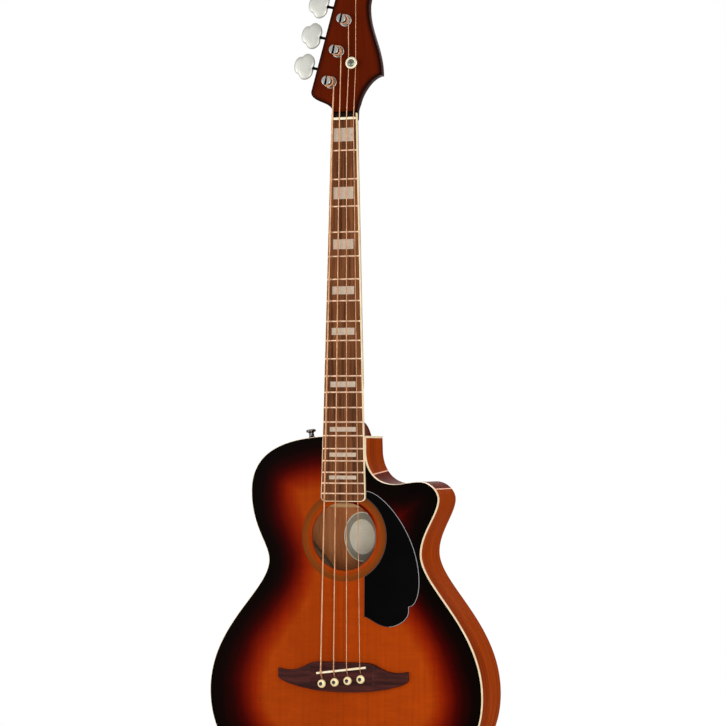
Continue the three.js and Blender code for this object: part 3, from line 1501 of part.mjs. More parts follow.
function tunerPlateGeometry() {
  const corners = [
    [-tunerPlateKeySide, -tunerPlateNutSide], [tunerPlateFarSide, -tunerPlateNutSide],
    [tunerPlateFarSide, tunerPlateTipSide], [-tunerPlateKeySide, tunerPlateTipSide],
  ];
  const rounding = 2;
  const outline = corners.flatMap(([x, z], i) => Array.from({ length: rounding + 1 }, (_, k) => {
    const turn = Math.PI + (Math.PI / 2) * (i + k / rounding);
    return new THREE.Vector2(
      x - Math.sign(x) * tunerPlateCorner + tunerPlateCorner * Math.cos(turn),
      z - Math.sign(z) * tunerPlateCorner + tunerPlateCorner * Math.sin(turn),
    );
  }));
  const screwHoles = corners.map(([x, z]) => circleOf(
    x - Math.sign(x) * tunerScrewInset, z - Math.sign(z) * tunerScrewInset, tunerScrewRadius, 6,
  ));
  const postHole = circleOf(0, 0, (postJournalRadius + jointGap) / Math.cos(Math.PI / 10), 10);
  const plate = slab(outline, plateFrontY, plateBackY, [postHole, ...screwHoles]);
  const ears = [-earStart - earThickness, earStart].map((x) => earGeometry(x));
  return join(plate, ...ears);
}

// A bearing ear stands on the plate and holds the shaft in its bore
function earGeometry(x) {
  const root = plateBackY - tunerPlateThickness / 2;
  const steps = 5;
  const crown = Array.from({ length: steps + 1 }, (_, i) => {
    const turn = (Math.PI * i) / steps;
    return [shaftY + earHalfWidth * Math.sin(turn), gearCentres + earHalfWidth * Math.cos(turn)];
  });
  const profile = [[root, gearCentres + earHalfWidth], ...crown, [root, gearCentres - earHalfWidth]];
  const bore = circleOf(shaftY, gearCentres, (wormRootRadius + jointGap) / Math.cos(Math.PI / 8), 8);
  return sideSlab(profile.map(([y, z]) => new THREE.Vector2(y, z)), x, x + earThickness, [bore]);
}

const faceY = headFaceDrop;
const bushingFrontY = faceY - jointGap - bushingFlangeHeight;

function bushingGeometry() {
  const inner = (postJournalRadius + jointGap) / Math.cos(Math.PI / 12);
  const flangeBack = faceY - jointGap;
  const end = flangeBack + bushingLength;
  return turned([
    [inner, bushingFrontY], [bushingFlangeRadius - jointGap, bushingFrontY],
    [bushingFlangeRadius, flangeBack], [bushingBarrelRadius, flangeBack],
    [bushingBarrelRadius, end], [inner, end], [inner, bushingFrontY],
  ], 12);
}

function postGeometry() {
  const topY = faceY - postHeight;
  const flangeY = bushingFrontY - jointGap;
  const profile = [
    [0, topY], [postTopRadius - postFlare / 2, topY], [postTopRadius, topY + postFlare / 2],
    [postTopRadius, topY + postTopLand], [postWaistRadius, topY + postTopLand + postFlare],
    [postWaistRadius, flangeY - postFlangeHeight / 2], [postFlangeRadius, flangeY - postFlangeHeight / 4],
    [postFlangeRadius, flangeY], [postJournalRadius, flangeY], [postJournalRadius, plateBackY],
    [postHubRadius, plateBackY], [postHubRadius, wheelBackY + jointGap],
    [postCapRadius, wheelBackY + jointGap], [postCapRadius, wheelBackY + jointGap + postCapHeight],
    [0, wheelBackY + jointGap + postCapHeight],
  ];
  const reach = postTopRadius + cutOverrun;
  const half = postSlotWidth / 2;
  const slot = box([-half, topY - cutOverrun, -reach], [half, topY + postSlotDepth, reach]);
  return cut(turned(profile, 12), slot);
}

// String retainer: a round head on a stem; two strings pass under its rim
function retainerGeometry() {
  const footY = retainerFootY;
  const frontY = footY - retainerThickness;
  const retainer = turned([
    [0, frontY + retainerScrewDepth], [retainerScrewRadius, frontY + retainerScrewDepth],
    [retainerScrewRadius, frontY], [retainerRadius - retainerThickness / 3, frontY],
    [retainerRadius, frontY + retainerThickness / 3], [retainerRadius, footY],
    [retainerStemRadius, footY], [retainerStemRadius, faceY - jointGap], [0, faceY - jointGap],
  ], 12);
  retainer.translate(retainerX, 0, retainerZ);
  return retainer;
}

// A strap button, standing on its base along its own y axis
function buttonGeometry() {
  const rimFoot = buttonHeight - buttonRimHeight;
  const rimRound = buttonRimHeight / 3;
  return turned([
    [0, 0], [buttonBaseRadius, 0], [buttonBaseRadius, buttonBaseHeight / 2],
    [buttonNeckRadius, buttonBaseHeight + buttonRimHeight / 2],
    [buttonNeckRadius, rimFoot - buttonBaseHeight / 2],
    [buttonRimRadius, rimFoot], [buttonRimRadius, buttonHeight - rimRound],
    [buttonRimRadius - rimRound, buttonHeight], [0, buttonHeight],
  ], 10);
}

// Assembly
const guitar = new THREE.Group();
guitar.name = "acoustic_bass_guitar";

function add(name, geometry, material, parent = guitar) {
  const bare = closedMesh(geometry);
  bare.computeVertexNormals();
  const mesh = new THREE.Mesh(bare, material);
  mesh.name = name;
  parent.add(mesh);
  return mesh;
}

const bassSideStart = cornerPostWidth + jointGap;
const tailEnd = (hand) => ({ seam: tailAlong, offset: (hand * tailJointGap) / 2 });
const hornEnd = (hand) => ({ seam: hornStripAlong, offset: hand * stripReach });
const innerEnd = (hand) => ({ seam: innerStripAlong, offset: hand * stripReach, lean: innerStripLean });
const bassSide = sideGeometry({ seam: bassSideStart }, tailEnd(-1));
add("soundboard", soundboardGeometry(), sunburstTop);
add("rosette", rosetteGeometry(), ringWood);
add("pickguard", guardGeometry(), blackPlastic);
add("back_plate", backPlateGeometry(), mahogany);
add("side_bass", cut(bassSide, rodClearance()), mahogany);
add("side_treble", sideGeometry(tailEnd(1), hornEnd(-1)), mahogany);
add("side_cutaway", sideGeometry(hornEnd(1), innerEnd(-1)), mahogany);
add("side_shoulder", sideGeometry(innerEnd(1), { seam: rim.length - bassSideStart }), mahogany);
add("body_binding", cut(bindingGeometry(), rodClearance()), creamTrim);
add("lining_top_bass", liningGeometry(bassSideStart, tailAlong, topLiningPairs), spruce);
add("lining_top_treble", liningGeometry(tailAlong, rim.length - bassSideStart, topLiningPairs), spruce);
add("lining_back_bass", liningGeometry(bassSideStart, tailAlong, backLiningPairs), spruce);
add("lining_back_treble", liningGeometry(tailAlong, rim.length - bassSideStart, backLiningPairs), spruce);
add("neck_block", cut(blockGeometry(neckBlock), rodClearance()), mahogany);
add("tail_block", blockGeometry(tailBlock), mahogany);
add("x_brace_bass", crossBraceGeometry(-1), spruce);
add("x_brace_treble", crossBraceGeometry(1), spruce);
const toneBarTop = bridgePlateFootZ - toneBarToPlate;
const toneBarRoom = toneBarTop - tailBlock.reach;
const toneBarRise = toneBarRoom * toneBarRiseShare;
const toneBarTurn = THREE.MathUtils.radToDeg(Math.atan2(toneBarRise, 2 * toneBarHalfLength));
["tone_bar_upper", "tone_bar_lower"].forEach((name, i) => {
  const bar = barGeometry(-toneBarHalfLength, toneBarHalfLength, braceWidth, toneBarHeight);
  const z = toneBarTop - toneBarRoom * toneBarMiddleShares[i];
  add(name, placedBar(bar, toneBarShift, z, toneBarTurn), spruce);
});
const [bassReach, trebleReach] = [-1, 1].map((side) =>
  rimReach(transverseZ, side, transverseWidth + 2 * liningInner) - transverseWallGap);
const transverse = barGeometry(-bassReach, trebleReach, transverseWidth, transverseHeight);
add("transverse_brace", placedBar(transverse, 0, transverseZ, 0), spruce);
add("bridge_plate", bridgePlateGeometry(), rosewood);
add("bridge", bridgeGeometry(), rosewood);
add("saddle", saddleGeometry(), bone);
add("neck", neckGeometry(), mahogany);
add("truss_rod", trussRodGeometry(), steel);
add("fretboard", fretboardGeometry(), rosewood);
add("fretboard_binding", boardBindingGeometry(), creamTrim);
add("nut", nutGeometry(), bone);
add("string_retainer", retainerGeometry(), nickel);

stringNames.forEach((name, i) => {
  add(`bridge_pin_${name}`, pinGeometry(i), bone);
  add(`string_${name}`, stringGeometry(i), bronzeWire);
});

posts.forEach(({ name, x, z }) => {
  const tuner = new THREE.Group();
  tuner.position.set(x, 0, z);
  tuner.rotation.y = postLine;
  guitar.add(tuner);
  add(`tuner_plate_${name}`, tunerPlateGeometry(), nickel, tuner);
  add(`post_bushing_${name}`, bushingGeometry(), nickel, tuner);
  add(`string_post_${name}`, postGeometry(), nickel, tuner);
  add(`tuner_gear_${name}`, wheelGeometry(), brass, tuner);
  add(`tuner_key_${name}`, keyGeometry(), nickel, tuner);
});

const shoulderStation = rim.stations
  .map((station, i) => [station, rim.stations[i + 1]])
  .find(([from, to]) => from.x > -buttonX && to.x <= -buttonX && from.z > fromJoin(upperBoutDrop))[0];
const shoulderSeat = rimAt(shoulderStation.along + (shoulderStation.x + buttonX));
const shoulderButton = add("strap_button_shoulder", buttonGeometry(), nickel);
shoulderButton.position.set(
  shoulderSeat.x - shoulderSeat.nx * jointGap, buttonFromFace, shoulderSeat.z - shoulderSeat.nz * jointGap,
);
shoulderButton.quaternion.setFromUnitVectors(
  new THREE.Vector3(0, 1, 0), new THREE.Vector3(-shoulderSeat.nx, 0, -shoulderSeat.nz),
);
const tailButton = add("strap_button_tail", buttonGeometry(), nickel);
tailButton.position.set(0, tailButtonFromFace, tailZ - jointGap);
tailButton.rotation.x = -Math.PI / 2;

stringNames.forEach((name, i) => {
  console.log(`string_${name}: least gap between loops ${leastLoopGap(i).toFixed(2)} mm`);
});

export default guitar;
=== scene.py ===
"""Dresses the acoustic bass guitar: fine wooden, bone, pearl and metal surfaces over its fixed frame.

Metres, in the frame's own axes: +Z up the neck, the soundboard faces -Y, the bass side is -X.
Outline tables are in millimetres, as the frame's source has them, and are scaled once.
"""

import math

import bmesh
import bpy
import numpy as np
from mathutils import Matrix, Vector


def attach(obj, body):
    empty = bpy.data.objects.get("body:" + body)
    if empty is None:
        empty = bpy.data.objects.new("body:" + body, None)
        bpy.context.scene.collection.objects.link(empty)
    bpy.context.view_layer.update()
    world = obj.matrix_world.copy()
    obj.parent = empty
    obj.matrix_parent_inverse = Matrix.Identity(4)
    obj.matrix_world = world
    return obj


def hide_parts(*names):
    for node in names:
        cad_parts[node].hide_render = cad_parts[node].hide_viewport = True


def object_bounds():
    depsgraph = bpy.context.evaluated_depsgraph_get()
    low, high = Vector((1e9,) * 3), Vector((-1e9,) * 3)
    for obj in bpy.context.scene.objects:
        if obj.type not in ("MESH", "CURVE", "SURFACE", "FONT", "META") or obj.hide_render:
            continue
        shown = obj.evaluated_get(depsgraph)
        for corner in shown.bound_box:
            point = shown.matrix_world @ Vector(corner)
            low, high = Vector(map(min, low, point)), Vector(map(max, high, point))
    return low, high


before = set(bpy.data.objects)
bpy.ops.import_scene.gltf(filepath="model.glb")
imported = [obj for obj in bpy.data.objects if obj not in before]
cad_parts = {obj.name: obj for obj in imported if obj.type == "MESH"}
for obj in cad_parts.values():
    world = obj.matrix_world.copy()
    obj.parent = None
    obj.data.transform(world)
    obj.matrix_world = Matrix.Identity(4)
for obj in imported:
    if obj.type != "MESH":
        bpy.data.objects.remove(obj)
CAD_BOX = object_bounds()

bl_info = {
    "name": "Acoustic bass guitar dressing",
    "version": (1, 0, 0),
    "blender": (4, 5, 0),
    "location": "3D View > Sidebar > Bass guitar",
    "description": "Builds the visible surfaces of an acoustic bass guitar",
    "category": "Object",
}

MM = 0.001
STRINGS = ("e", "a", "d", "g")

# Fretboard and nut, in millimetres
SCALE = 769.6
JOIN_FRET = 15
FRETS = 20
BOARD_BEYOND_FRET = 11.3
BOARD_BEYOND_NUT = 9.4
BOARD_THICK = 6.5
BOARD_NUT_HALF = 19.05
BOARD_END_HALF = 33.0
BOARD_CROWN = 305.0
BOARD_CORNER = 7.0
BOARD_EDGING = 0.9
NUT_THICK = 4.6
NUT_SHOWN = 3.4
NUT_TOP = -9.4
NUT_SPACING = 10.4
NUT_GROOVE = -8.1
SEAM = 0.05

# Body
BODY_LENGTH = 505.0
DEPTH_AT_NECK = 79.0
DEPTH_AT_TAIL = 101.0
BACK_DOME = 4600.0
TOP_THICK = 3.0
BACK_THICK = 3.0
SIDE_THICK = 2.5
EDGING_WIDTH = 0.5
EDGING_DEPTH = 6.5
STRIP_WIDTH = 1.8
CORNER_POST = 3.0
HOLE_BELOW_JOIN = 141.6
HOLE_RADIUS = 48.1
RING_INNER = 51.6
RING_OUTER = 62.9
RING_THICK = 1.1
LABEL_X, LABEL_Z = -3.5, -591.0
LABEL_HALF_WIDTH, LABEL_HALF_HEIGHT = 27.5, 36.0

# Bridge, saddle and pins
BRIDGE_HALF = 97.0
BRIDGE_BLOCK_HALF = 44.6
BRIDGE_BLOCK_HEIGHT = 9.0
BRIDGE_CREST = 10.9
SADDLE_BEYOND_SCALE = 4.8
SADDLE_HALF = 37.0
SADDLE_SLOPE = 10 / 74
SADDLE_CROWN = 915.0
SADDLE_TOP = -13.0
PIN_SPACING = 19.3
PIN_BELOW_SADDLE = 15.6

# Strings, headstock and tuners
DIAMETERS = (2.6, 2.0, 1.6, 1.15)
TURNS = (1.5, 1.75, 2.0, 2.25)
HEAD_FACE, HEAD_BACK = 3.6, 17.6
HEAD_STEP_Z = (9.7, 11.05, 13.3, 16.0, 18.7)
HEAD_STEP_Y = (0, 1.62, 2.7, 3.38, HEAD_FACE)
HEAD_BLEND_END = 24.0
POST_TURN = math.radians(14.2)
POST_SPACING = 45.0
FIRST_POST_X, FIRST_POST_Z = -23.1, 55.6
POST_RADIUS = 5.1
POST_TOP = HEAD_FACE - 20.5
SLOT_FLOOR = POST_TOP + 5.0
SHAFT_Y, SHAFT_Z = 25.05, 16.0
RETAINER_X, RETAINER_Z = 9.8, 81.0
RETAINER_RADIUS = 8.8

# Points round the guard: the arc at the rosette, then its outer edge
GUARD_ARC_COUNT = 60
GUARD_BEND_COUNTS = (40, 24, 3, 24)


def fret_z(fret):
    """The height of a fret: -scale * (1 - 2^(-fret/12))."""
    return -SCALE * (1 - 2 ** (-np.asarray(fret, float) / 12))


JOIN_Z = float(fret_z(JOIN_FRET))
BOARD_END_Z = float(fret_z(FRETS)) - BOARD_BEYOND_FRET
TAIL_Z = JOIN_Z - BODY_LENGTH
HOLE_Z = JOIN_Z - HOLE_BELOW_JOIN
SADDLE_Z = -SCALE - SADDLE_BEYOND_SCALE
INLAY_SPANS = (
    (-11.4, -30.5, 15.0), (-95.0, -112.1, 15.0), (-169.0, -183.0, 15.3),
    (-235.5, -246.8, 16.4), (-294.1, -304.0, 17.0), (-369.7, -377.6, 18.8),
    (-433.7, -440.2, 19.5), (-469.7, -475.6, 19.9), (-502.0, -507.3, 20.3),
)


def board_half(z):
    """The fretboard's half width, which grows evenly from the nut to its end."""
    return BOARD_NUT_HALF + (BOARD_END_HALF - BOARD_NUT_HALF) * np.asarray(z, float) / BOARD_END_Z


def board_face(x):
    """The fretboard's crowned face: a circle of the crown's radius across the board."""
    x = np.asarray(x, float)
    return -BOARD_THICK + BOARD_CROWN - np.sqrt(BOARD_CROWN ** 2 - x * x)


def back_y(x, z):
    """The back's outer face: a plane that deepens to the tail, plus a wide dome."""
    share = (JOIN_Z - z) / BODY_LENGTH
    dome = ((JOIN_Z - z) * (z - TAIL_Z) - x * x) / (2 * BACK_DOME)
    return DEPTH_AT_NECK + (DEPTH_AT_TAIL - DEPTH_AT_NECK) * share + dome


# Curves


def circle(count):
    """Angles spread evenly once round."""
    return np.linspace(0, 2 * np.pi, count, endpoint=False)


def cubic(start, first, second, end, t):
    """A cubic Bezier curve at the values t."""
    a, b, c, d = (np.asarray(p, float) for p in (start, first, second, end))
    t = np.asarray(t, float)[:, None]
    return (1 - t) ** 3 * a + 3 * (1 - t) ** 2 * t * b + 3 * (1 - t) * t * t * c + t ** 3 * d


def bend(start, end, start_upright, end_upright, shares, count):
    """A cubic curve whose handles are upright or level, each a share of the span; its end is left off."""
    start, end = np.asarray(start, float), np.asarray(end, float)
    span = end - start
    first = start + span * ([0, shares[0]] if start_upright else [shares[0], 0])
    second = end - span * ([0, shares[1]] if end_upright else [shares[1], 0])
    return cubic(start, first, second, end, np.linspace(0, 1, count, endpoint=False))


def mitred(points):
    """Inward normals of a closed outline, mitred so that an offset keeps its width at corners."""
    into = points - np.roll(points, 1, 0)
    out = np.roll(into, -1, 0)
    into = into / np.linalg.norm(into, axis=1)[:, None]
    out = out / np.linalg.norm(out, axis=1)[:, None]
    left = np.stack([-into[:, 1], into[:, 0]], 1)
    mitre = left + np.stack([-out[:, 1], out[:, 0]], 1)
    mitre /= np.maximum(np.linalg.norm(mitre, axis=1), 1e-6)[:, None]
    mitre /= np.maximum((mitre * left).sum(1), 0.5)[:, None]
    area = (points[:, 0] * np.roll(points[:, 1], -1) - np.roll(points[:, 0], -1) * points[:, 1]).sum()
    return mitre * np.sign(area)


def build_rim(density=7):
    """The body's outline, anticlockwise from its corner, with mitred inward normals and distances."""
    def at(x, drop):
        return (x, JOIN_Z - drop)
    corner, centre = at(float(board_half(JOIN_Z)), 0), at(0, 0)
    upper, waist, lower, tail = at(-140.2, 78), at(-113, 176), at(-202.5, 362), at(0, BODY_LENGTH)
    lower_t, waist_t, horn_side = at(202.5, 362), at(113, 165), at(138.9, 88.5)
    horn_top, dip, wall_foot = at(112, 64.1), at(75, 67.9), at(corner[0], 22)
    n = density
    stretches = [
        np.linspace(corner, centre, n, endpoint=False),
        bend(centre, upper, False, True, (0.407, 0.924), 8 * n),
        bend(upper, waist, True, True, (0.531, 0.232), 5 * n),
        bend(waist, lower, True, True, (0.236, 0.495), 6 * n),
        bend(lower, tail, True, False, (0.66, 0.6), 8 * n),
        bend(tail, lower_t, False, True, (0.6, 0.66), 8 * n),
        bend(lower_t, waist_t, True, True, (0.495, 0.236), 6 * n),
        bend(waist_t, horn_side, True, True, (0.388, 0.272), 4 * n),
        bend(horn_side, horn_top, True, False, (0.535, 0.481), 4 * n),
        bend(horn_top, dip, False, False, (0.411, 0.309), 3 * n),
        bend(dip, wall_foot, False, True, (0.958, 0.148), 6 * n),
        np.linspace(wall_foot, corner, 3, endpoint=False),
    ]
    starts = np.cumsum([0] + [len(s) for s in stretches])
    points = np.concatenate(stretches)
    span = np.linalg.norm(np.roll(points, -1, 0) - points, axis=1)
    along = np.concatenate([[0], np.cumsum(span)])
    return points, mitred(points), along, along[starts]


RIM, RIM_IN, RIM_ALONG, RIM_STARTS = build_rim()
RIM_LENGTH = RIM_ALONG[-1]
HORN_SEAM = RIM_STARTS[8] + (RIM_STARTS[9] - RIM_STARTS[8]) * 0.4
INNER_SEAM = RIM_STARTS[10] + (RIM_STARTS[11] - RIM_STARTS[10]) * 0.52
TAIL_SEAM = RIM_STARTS[5]
INNER_LEAN = 6.0


def rim_at(along):
    """Places and inward normals at any distances along the rim, interpolated."""
    along = np.mod(np.asarray(along, float), RIM_LENGTH)
    closed = np.concatenate([RIM, RIM[:1]])
    turned = np.concatenate([RIM_IN, RIM_IN[:1]])
    place = [np.interp(along, RIM_ALONG, closed[:, k]) for k in (0, 1)]
    normal = [np.interp(along, RIM_ALONG, turned[:, k]) for k in (0, 1)]
    return np.stack(place, -1), np.stack(normal, -1)


def rim_between(start, end):
    """The rim's own stations between two distances, with the two ends added."""
    inside = RIM_ALONG[:-1]
    return np.concatenate([[start], inside[(inside > start) & (inside < end)], [end]])


# Meshes


class Skin:
    """Collects grids of points into one mesh, with a flow vector on every point for grain."""

    def __init__(self):
        self.points, self.faces, self.flow, self.marks = [], [], [], []
        self.count = 0

    def grid(self, points, close_rows=False, close_columns=False, caps=(False, False), flow=None, mark=0):
        """Adds a grid of rows by columns of points; a cap closes its first or last row with one face."""
        points = np.asarray(points, float)
        rows, columns = points.shape[:2]
        r = np.arange(rows if close_rows else rows - 1)
        c = np.arange(columns if close_columns else columns - 1)
        i, j = np.meshgrid(r, c, indexing="ij")
        i2, j2 = (i + 1) % rows, (j + 1) % columns
        quads = np.stack([i * columns + j, i2 * columns + j, i2 * columns + j2, i * columns + j2], -1)
        quads = quads.reshape(-1, 4) + self.count
        self.faces += quads.tolist()
        if caps[0]:
            self.faces.append((self.count + np.arange(columns)).tolist())
        if caps[1]:
            self.faces.append((self.count + (rows - 1) * columns + np.arange(columns))[::-1].tolist())
        self.points.append(points.reshape(-1, 3))
        self.flow.append((points if flow is None else np.asarray(flow, float)).reshape(-1, 3))
        self.marks.append(np.broadcast_to(np.asarray(mark, float), (rows, columns)).reshape(-1))
        self.count += rows * columns
        return self

    def solid(self, rings, **more):
        """Adds closed rings, one after another, with a face at each end."""
        return self.grid(rings, close_columns=True, caps=(True, True), **more)

    def make(self, name, body, material, replaces=(), crease=38, weld=0.02, moved=None):
        """Makes the piece in the frame: scaled to metres, welded, turned outwards and smooth."""
        points = np.concatenate(self.points)
        if moved is not None:
            points = points @ moved[0].T + moved[1]
        mesh = bpy.data.meshes.new(name)
        mesh.from_pydata((points * MM).tolist(), [], self.faces)
        flow = mesh.attributes.new("flow", "FLOAT_VECTOR", "POINT")
        flow.data.foreach_set("vector", (np.concatenate(self.flow) * MM).ravel())
        mark = mesh.attributes.new("mark", "FLOAT", "POINT")
        mark.data.foreach_set("value", np.concatenate(self.marks))
        bm = bmesh.new()
        bm.from_mesh(mesh)
        bmesh.ops.remove_doubles(bm, verts=bm.verts, dist=weld * MM)
        bmesh.ops.recalc_face_normals(bm, faces=bm.faces)
        bm.to_mesh(mesh)
        bm.free()
        mesh.shade_smooth()
        mesh.set_sharp_from_angle(angle=math.radians(crease))
        mesh.materials.append(material)
        piece = bpy.data.objects.new(name, mesh)
        bpy.context.scene.collection.objects.link(piece)
        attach(piece, body)
        if replaces:
            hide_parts(*replaces)
        return piece


def lathe(skin, profile, x=0.0, z=0.0, sides=48, mark=0):
    """Turns pairs of radius and height about an axis along Y; a zero radius closes the surface."""
    profile = np.asarray(profile, float)
    turn = circle(sides)
    radius, height = profile[:, :1], profile[:, 1:]
    points = np.stack([x + radius * np.cos(turn), height + 0 * turn, z + radius * np.sin(turn)], -1)
    flow = np.stack([radius + 0 * turn, height + 0 * turn, turn * radius.max() + 0 * height], -1)
    return skin.grid(points, close_columns=True, flow=flow, mark=mark)


def rounded_profile(corners, radius, steps=4):
    """Rounds the inner corners of an open profile with quadratic arcs of a given reach."""
    corners = np.asarray(corners, float)
    before, at, after = corners[:-2], corners[1:-1], corners[2:]
    def towards(other):
        span = other - at
        length = np.linalg.norm(span, axis=1)[:, None]
        return at + span * np.minimum(radius / np.maximum(length, 1e-9), 0.45)
    a, b = towards(before), towards(after)
    t = np.linspace(0, 1, steps + 1)[:, None, None]
    arcs = (1 - t) ** 2 * a + 2 * t * (1 - t) * at + t * t * b
    return np.concatenate([corners[:1], arcs.transpose(1, 0, 2).reshape(-1, corners.shape[1]), corners[-1:]])


def tube_rings(path, radius, sides, across=(0, 1, 0)):
    """Rings round a path, each square to it, with one side facing a fixed direction."""
    path = np.asarray(path, float)
    along = np.gradient(path, axis=0)
    along /= np.linalg.norm(along, axis=1)[:, None]
    side = np.cross(along, across)
    side /= np.linalg.norm(side, axis=1)[:, None]
    up = np.cross(side, along)
    turn = circle(sides)
    radius = np.broadcast_to(np.asarray(radius, float), len(path))
    ring = side[:, None] * np.cos(turn)[None, :, None] + up[:, None] * np.sin(turn)[None, :, None]
    points = path[:, None] + ring * radius[:, None, None]
    length = np.concatenate([[0], np.cumsum(np.linalg.norm(np.diff(path, axis=0), axis=1))])
    flow = np.stack(np.broadcast_arrays(
        radius[:, None] * turn[None], length[:, None], np.zeros(1)), -1)
    return points, flow


# Materials


def linear(hex_colour):
    """A colour written as it shows, as linear values with an alpha."""
    parts = [int(hex_colour[k:k + 2], 16) / 255 for k in (0, 2, 4)]
    return [c / 12.92 if c <= 0.04045 else ((c + 0.055) / 1.055) ** 2.4 for c in parts] + [1.0]


class Paint:
    """A procedural material: nodes are added with short calls and read places from the piece."""

    def __init__(self, name, roughness=0.4, metallic=0.0, coat=0.0, coat_roughness=0.05, shine=0.3):
        self.material = bpy.data.materials.new(name)
        self.material.use_nodes = True
        self.tree = self.material.node_tree
        self.shader = self.tree.nodes["Principled BSDF"]
        self.shader.inputs["Roughness"].default_value = roughness
        self.shader.inputs["Metallic"].default_value = metallic
        self.shader.inputs["Specular IOR Level"].default_value = 0.5 if metallic else shine
        self.shader.inputs["Coat Weight"].default_value = coat
        self.shader.inputs["Coat Roughness"].default_value = coat_roughness

    def node(self, kind, sockets=None, **settings):
        """A new node of a kind, with its own settings, and a link or a plain value for each named socket."""
        made = self.tree.nodes.new(kind)
        for key, value in settings.items():
            setattr(made, key, value)
        for key, value in (sockets or {}).items():
            self.wire(made.inputs[key], value)
        return made

    def wire(self, socket, value):
        """Links an output to a socket, or sets the socket to a plain value."""
        if isinstance(value, bpy.types.NodeSocket):
            self.tree.links.new(value, socket)
        elif value is not None:
            socket.default_value = value

    def place(self):
        """The piece's own coordinates."""
        return self.node("ShaderNodeTexCoord").outputs["Object"]

    def flow(self):
        """The grain's coordinates, stored on the surface."""
        return self.node("ShaderNodeAttribute", attribute_name="flow").outputs["Vector"]

    def mark(self):
        """The value stored on the surface for burst, ply or edge."""
        return self.node("ShaderNodeAttribute", attribute_name="mark").outputs["Fac"]

    def stretched(self, source, scale, turn=(0, 0, 0)):
        """Coordinates scaled along each axis and turned."""
        sockets = {"Vector": source, "Scale": scale, "Rotation": turn}
        return self.node("ShaderNodeMapping", sockets).outputs["Vector"]

    def noise(self, source, scale, detail=4.0, rough=0.5, distortion=0.0):
        """Soft noise between 0 and 1."""
        sockets = {"Vector": source, "Scale": scale, "Detail": detail, "Roughness": rough,
                   "Distortion": distortion}
        return self.node("ShaderNodeTexNoise", sockets).outputs["Fac"]

    def waves(self, source, scale, distortion, direction="X", detail=2.0, detail_scale=1.0):
        """Even bands across one axis, more or less bent."""
        sockets = {"Vector": source, "Scale": scale, "Distortion": distortion, "Detail": detail,
                   "Detail Scale": detail_scale}
        made = self.node("ShaderNodeTexWave", sockets, wave_type="BANDS", bands_direction=direction)
        return made.outputs["Fac"]

    def span(self, value, low, high, to_low=0.0, to_high=1.0):
        """Stretches a value from one range to another, held at both ends."""
        sockets = {"Value": value, "From Min": low, "From Max": high, "To Min": to_low, "To Max": to_high}
        return self.node("ShaderNodeMapRange", sockets).outputs["Result"]

    def sum(self, operation, a, b=None):
        """One step of arithmetic on one or two values."""
        return self.node("ShaderNodeMath", {0: a, 1: b}, operation=operation).outputs[0]

    def axis(self, source, name):
        """One of the three values of a place."""
        return self.node("ShaderNodeSeparateXYZ", {0: source}).outputs[name]

    def ramp(self, value, stops):
        """A colour ramp from pairs of position and written colour."""
        made = self.node("ShaderNodeValToRGB")
        ramp = made.color_ramp
        while len(ramp.elements) < len(stops):
            ramp.elements.new(0.5)
        for element, (position, colour) in zip(ramp.elements, stops):
            element.position = position
            element.color = linear(colour) if isinstance(colour, str) else colour
        self.wire(made.inputs["Fac"], value)
        return made.outputs["Color"]

    def mix(self, factor, a, b, blend="MIX"):
        """Two colours blended by a factor."""
        a, b = (linear(colour) if isinstance(colour, str) else colour for colour in (a, b))
        made = self.node("ShaderNodeMix", {0: factor, 6: a, 7: b}, data_type="RGBA", blend_type=blend)
        return made.outputs[2]

    def bump(self, height, strength, distance):
        """The surface's fine relief, from a height between 0 and 1."""
        sockets = {"Strength": strength, "Distance": distance, "Height": height}
        return self.node("ShaderNodeBump", sockets).outputs["Normal"]

    def finish(self, colour, roughness=None, normal=None):
        """Links the colour, and where given the roughness and relief, and hands over the material."""
        self.wire(self.shader.inputs["Base Color"], colour)
        if roughness is not None:
            self.wire(self.shader.inputs["Roughness"], roughness)
        if normal is not None:
            self.wire(self.shader.inputs["Normal"], normal)
        return self.material


# Finishes


def settings():
    """The sizes and colours that a user may change."""
    return bpy.context.scene.bass_guitar


def wood_lines(paint, source, fine, broad, length):
    """Grain running along Z: fine pores and broad bands, both far longer than wide."""
    thin = paint.noise(paint.stretched(source, (fine, fine, fine / length)), 1.0, 5, 0.62)
    wide = paint.noise(paint.stretched(source, (broad, broad, broad / length)), 1.0, 3, 0.55, 0.4)
    return thin, wide


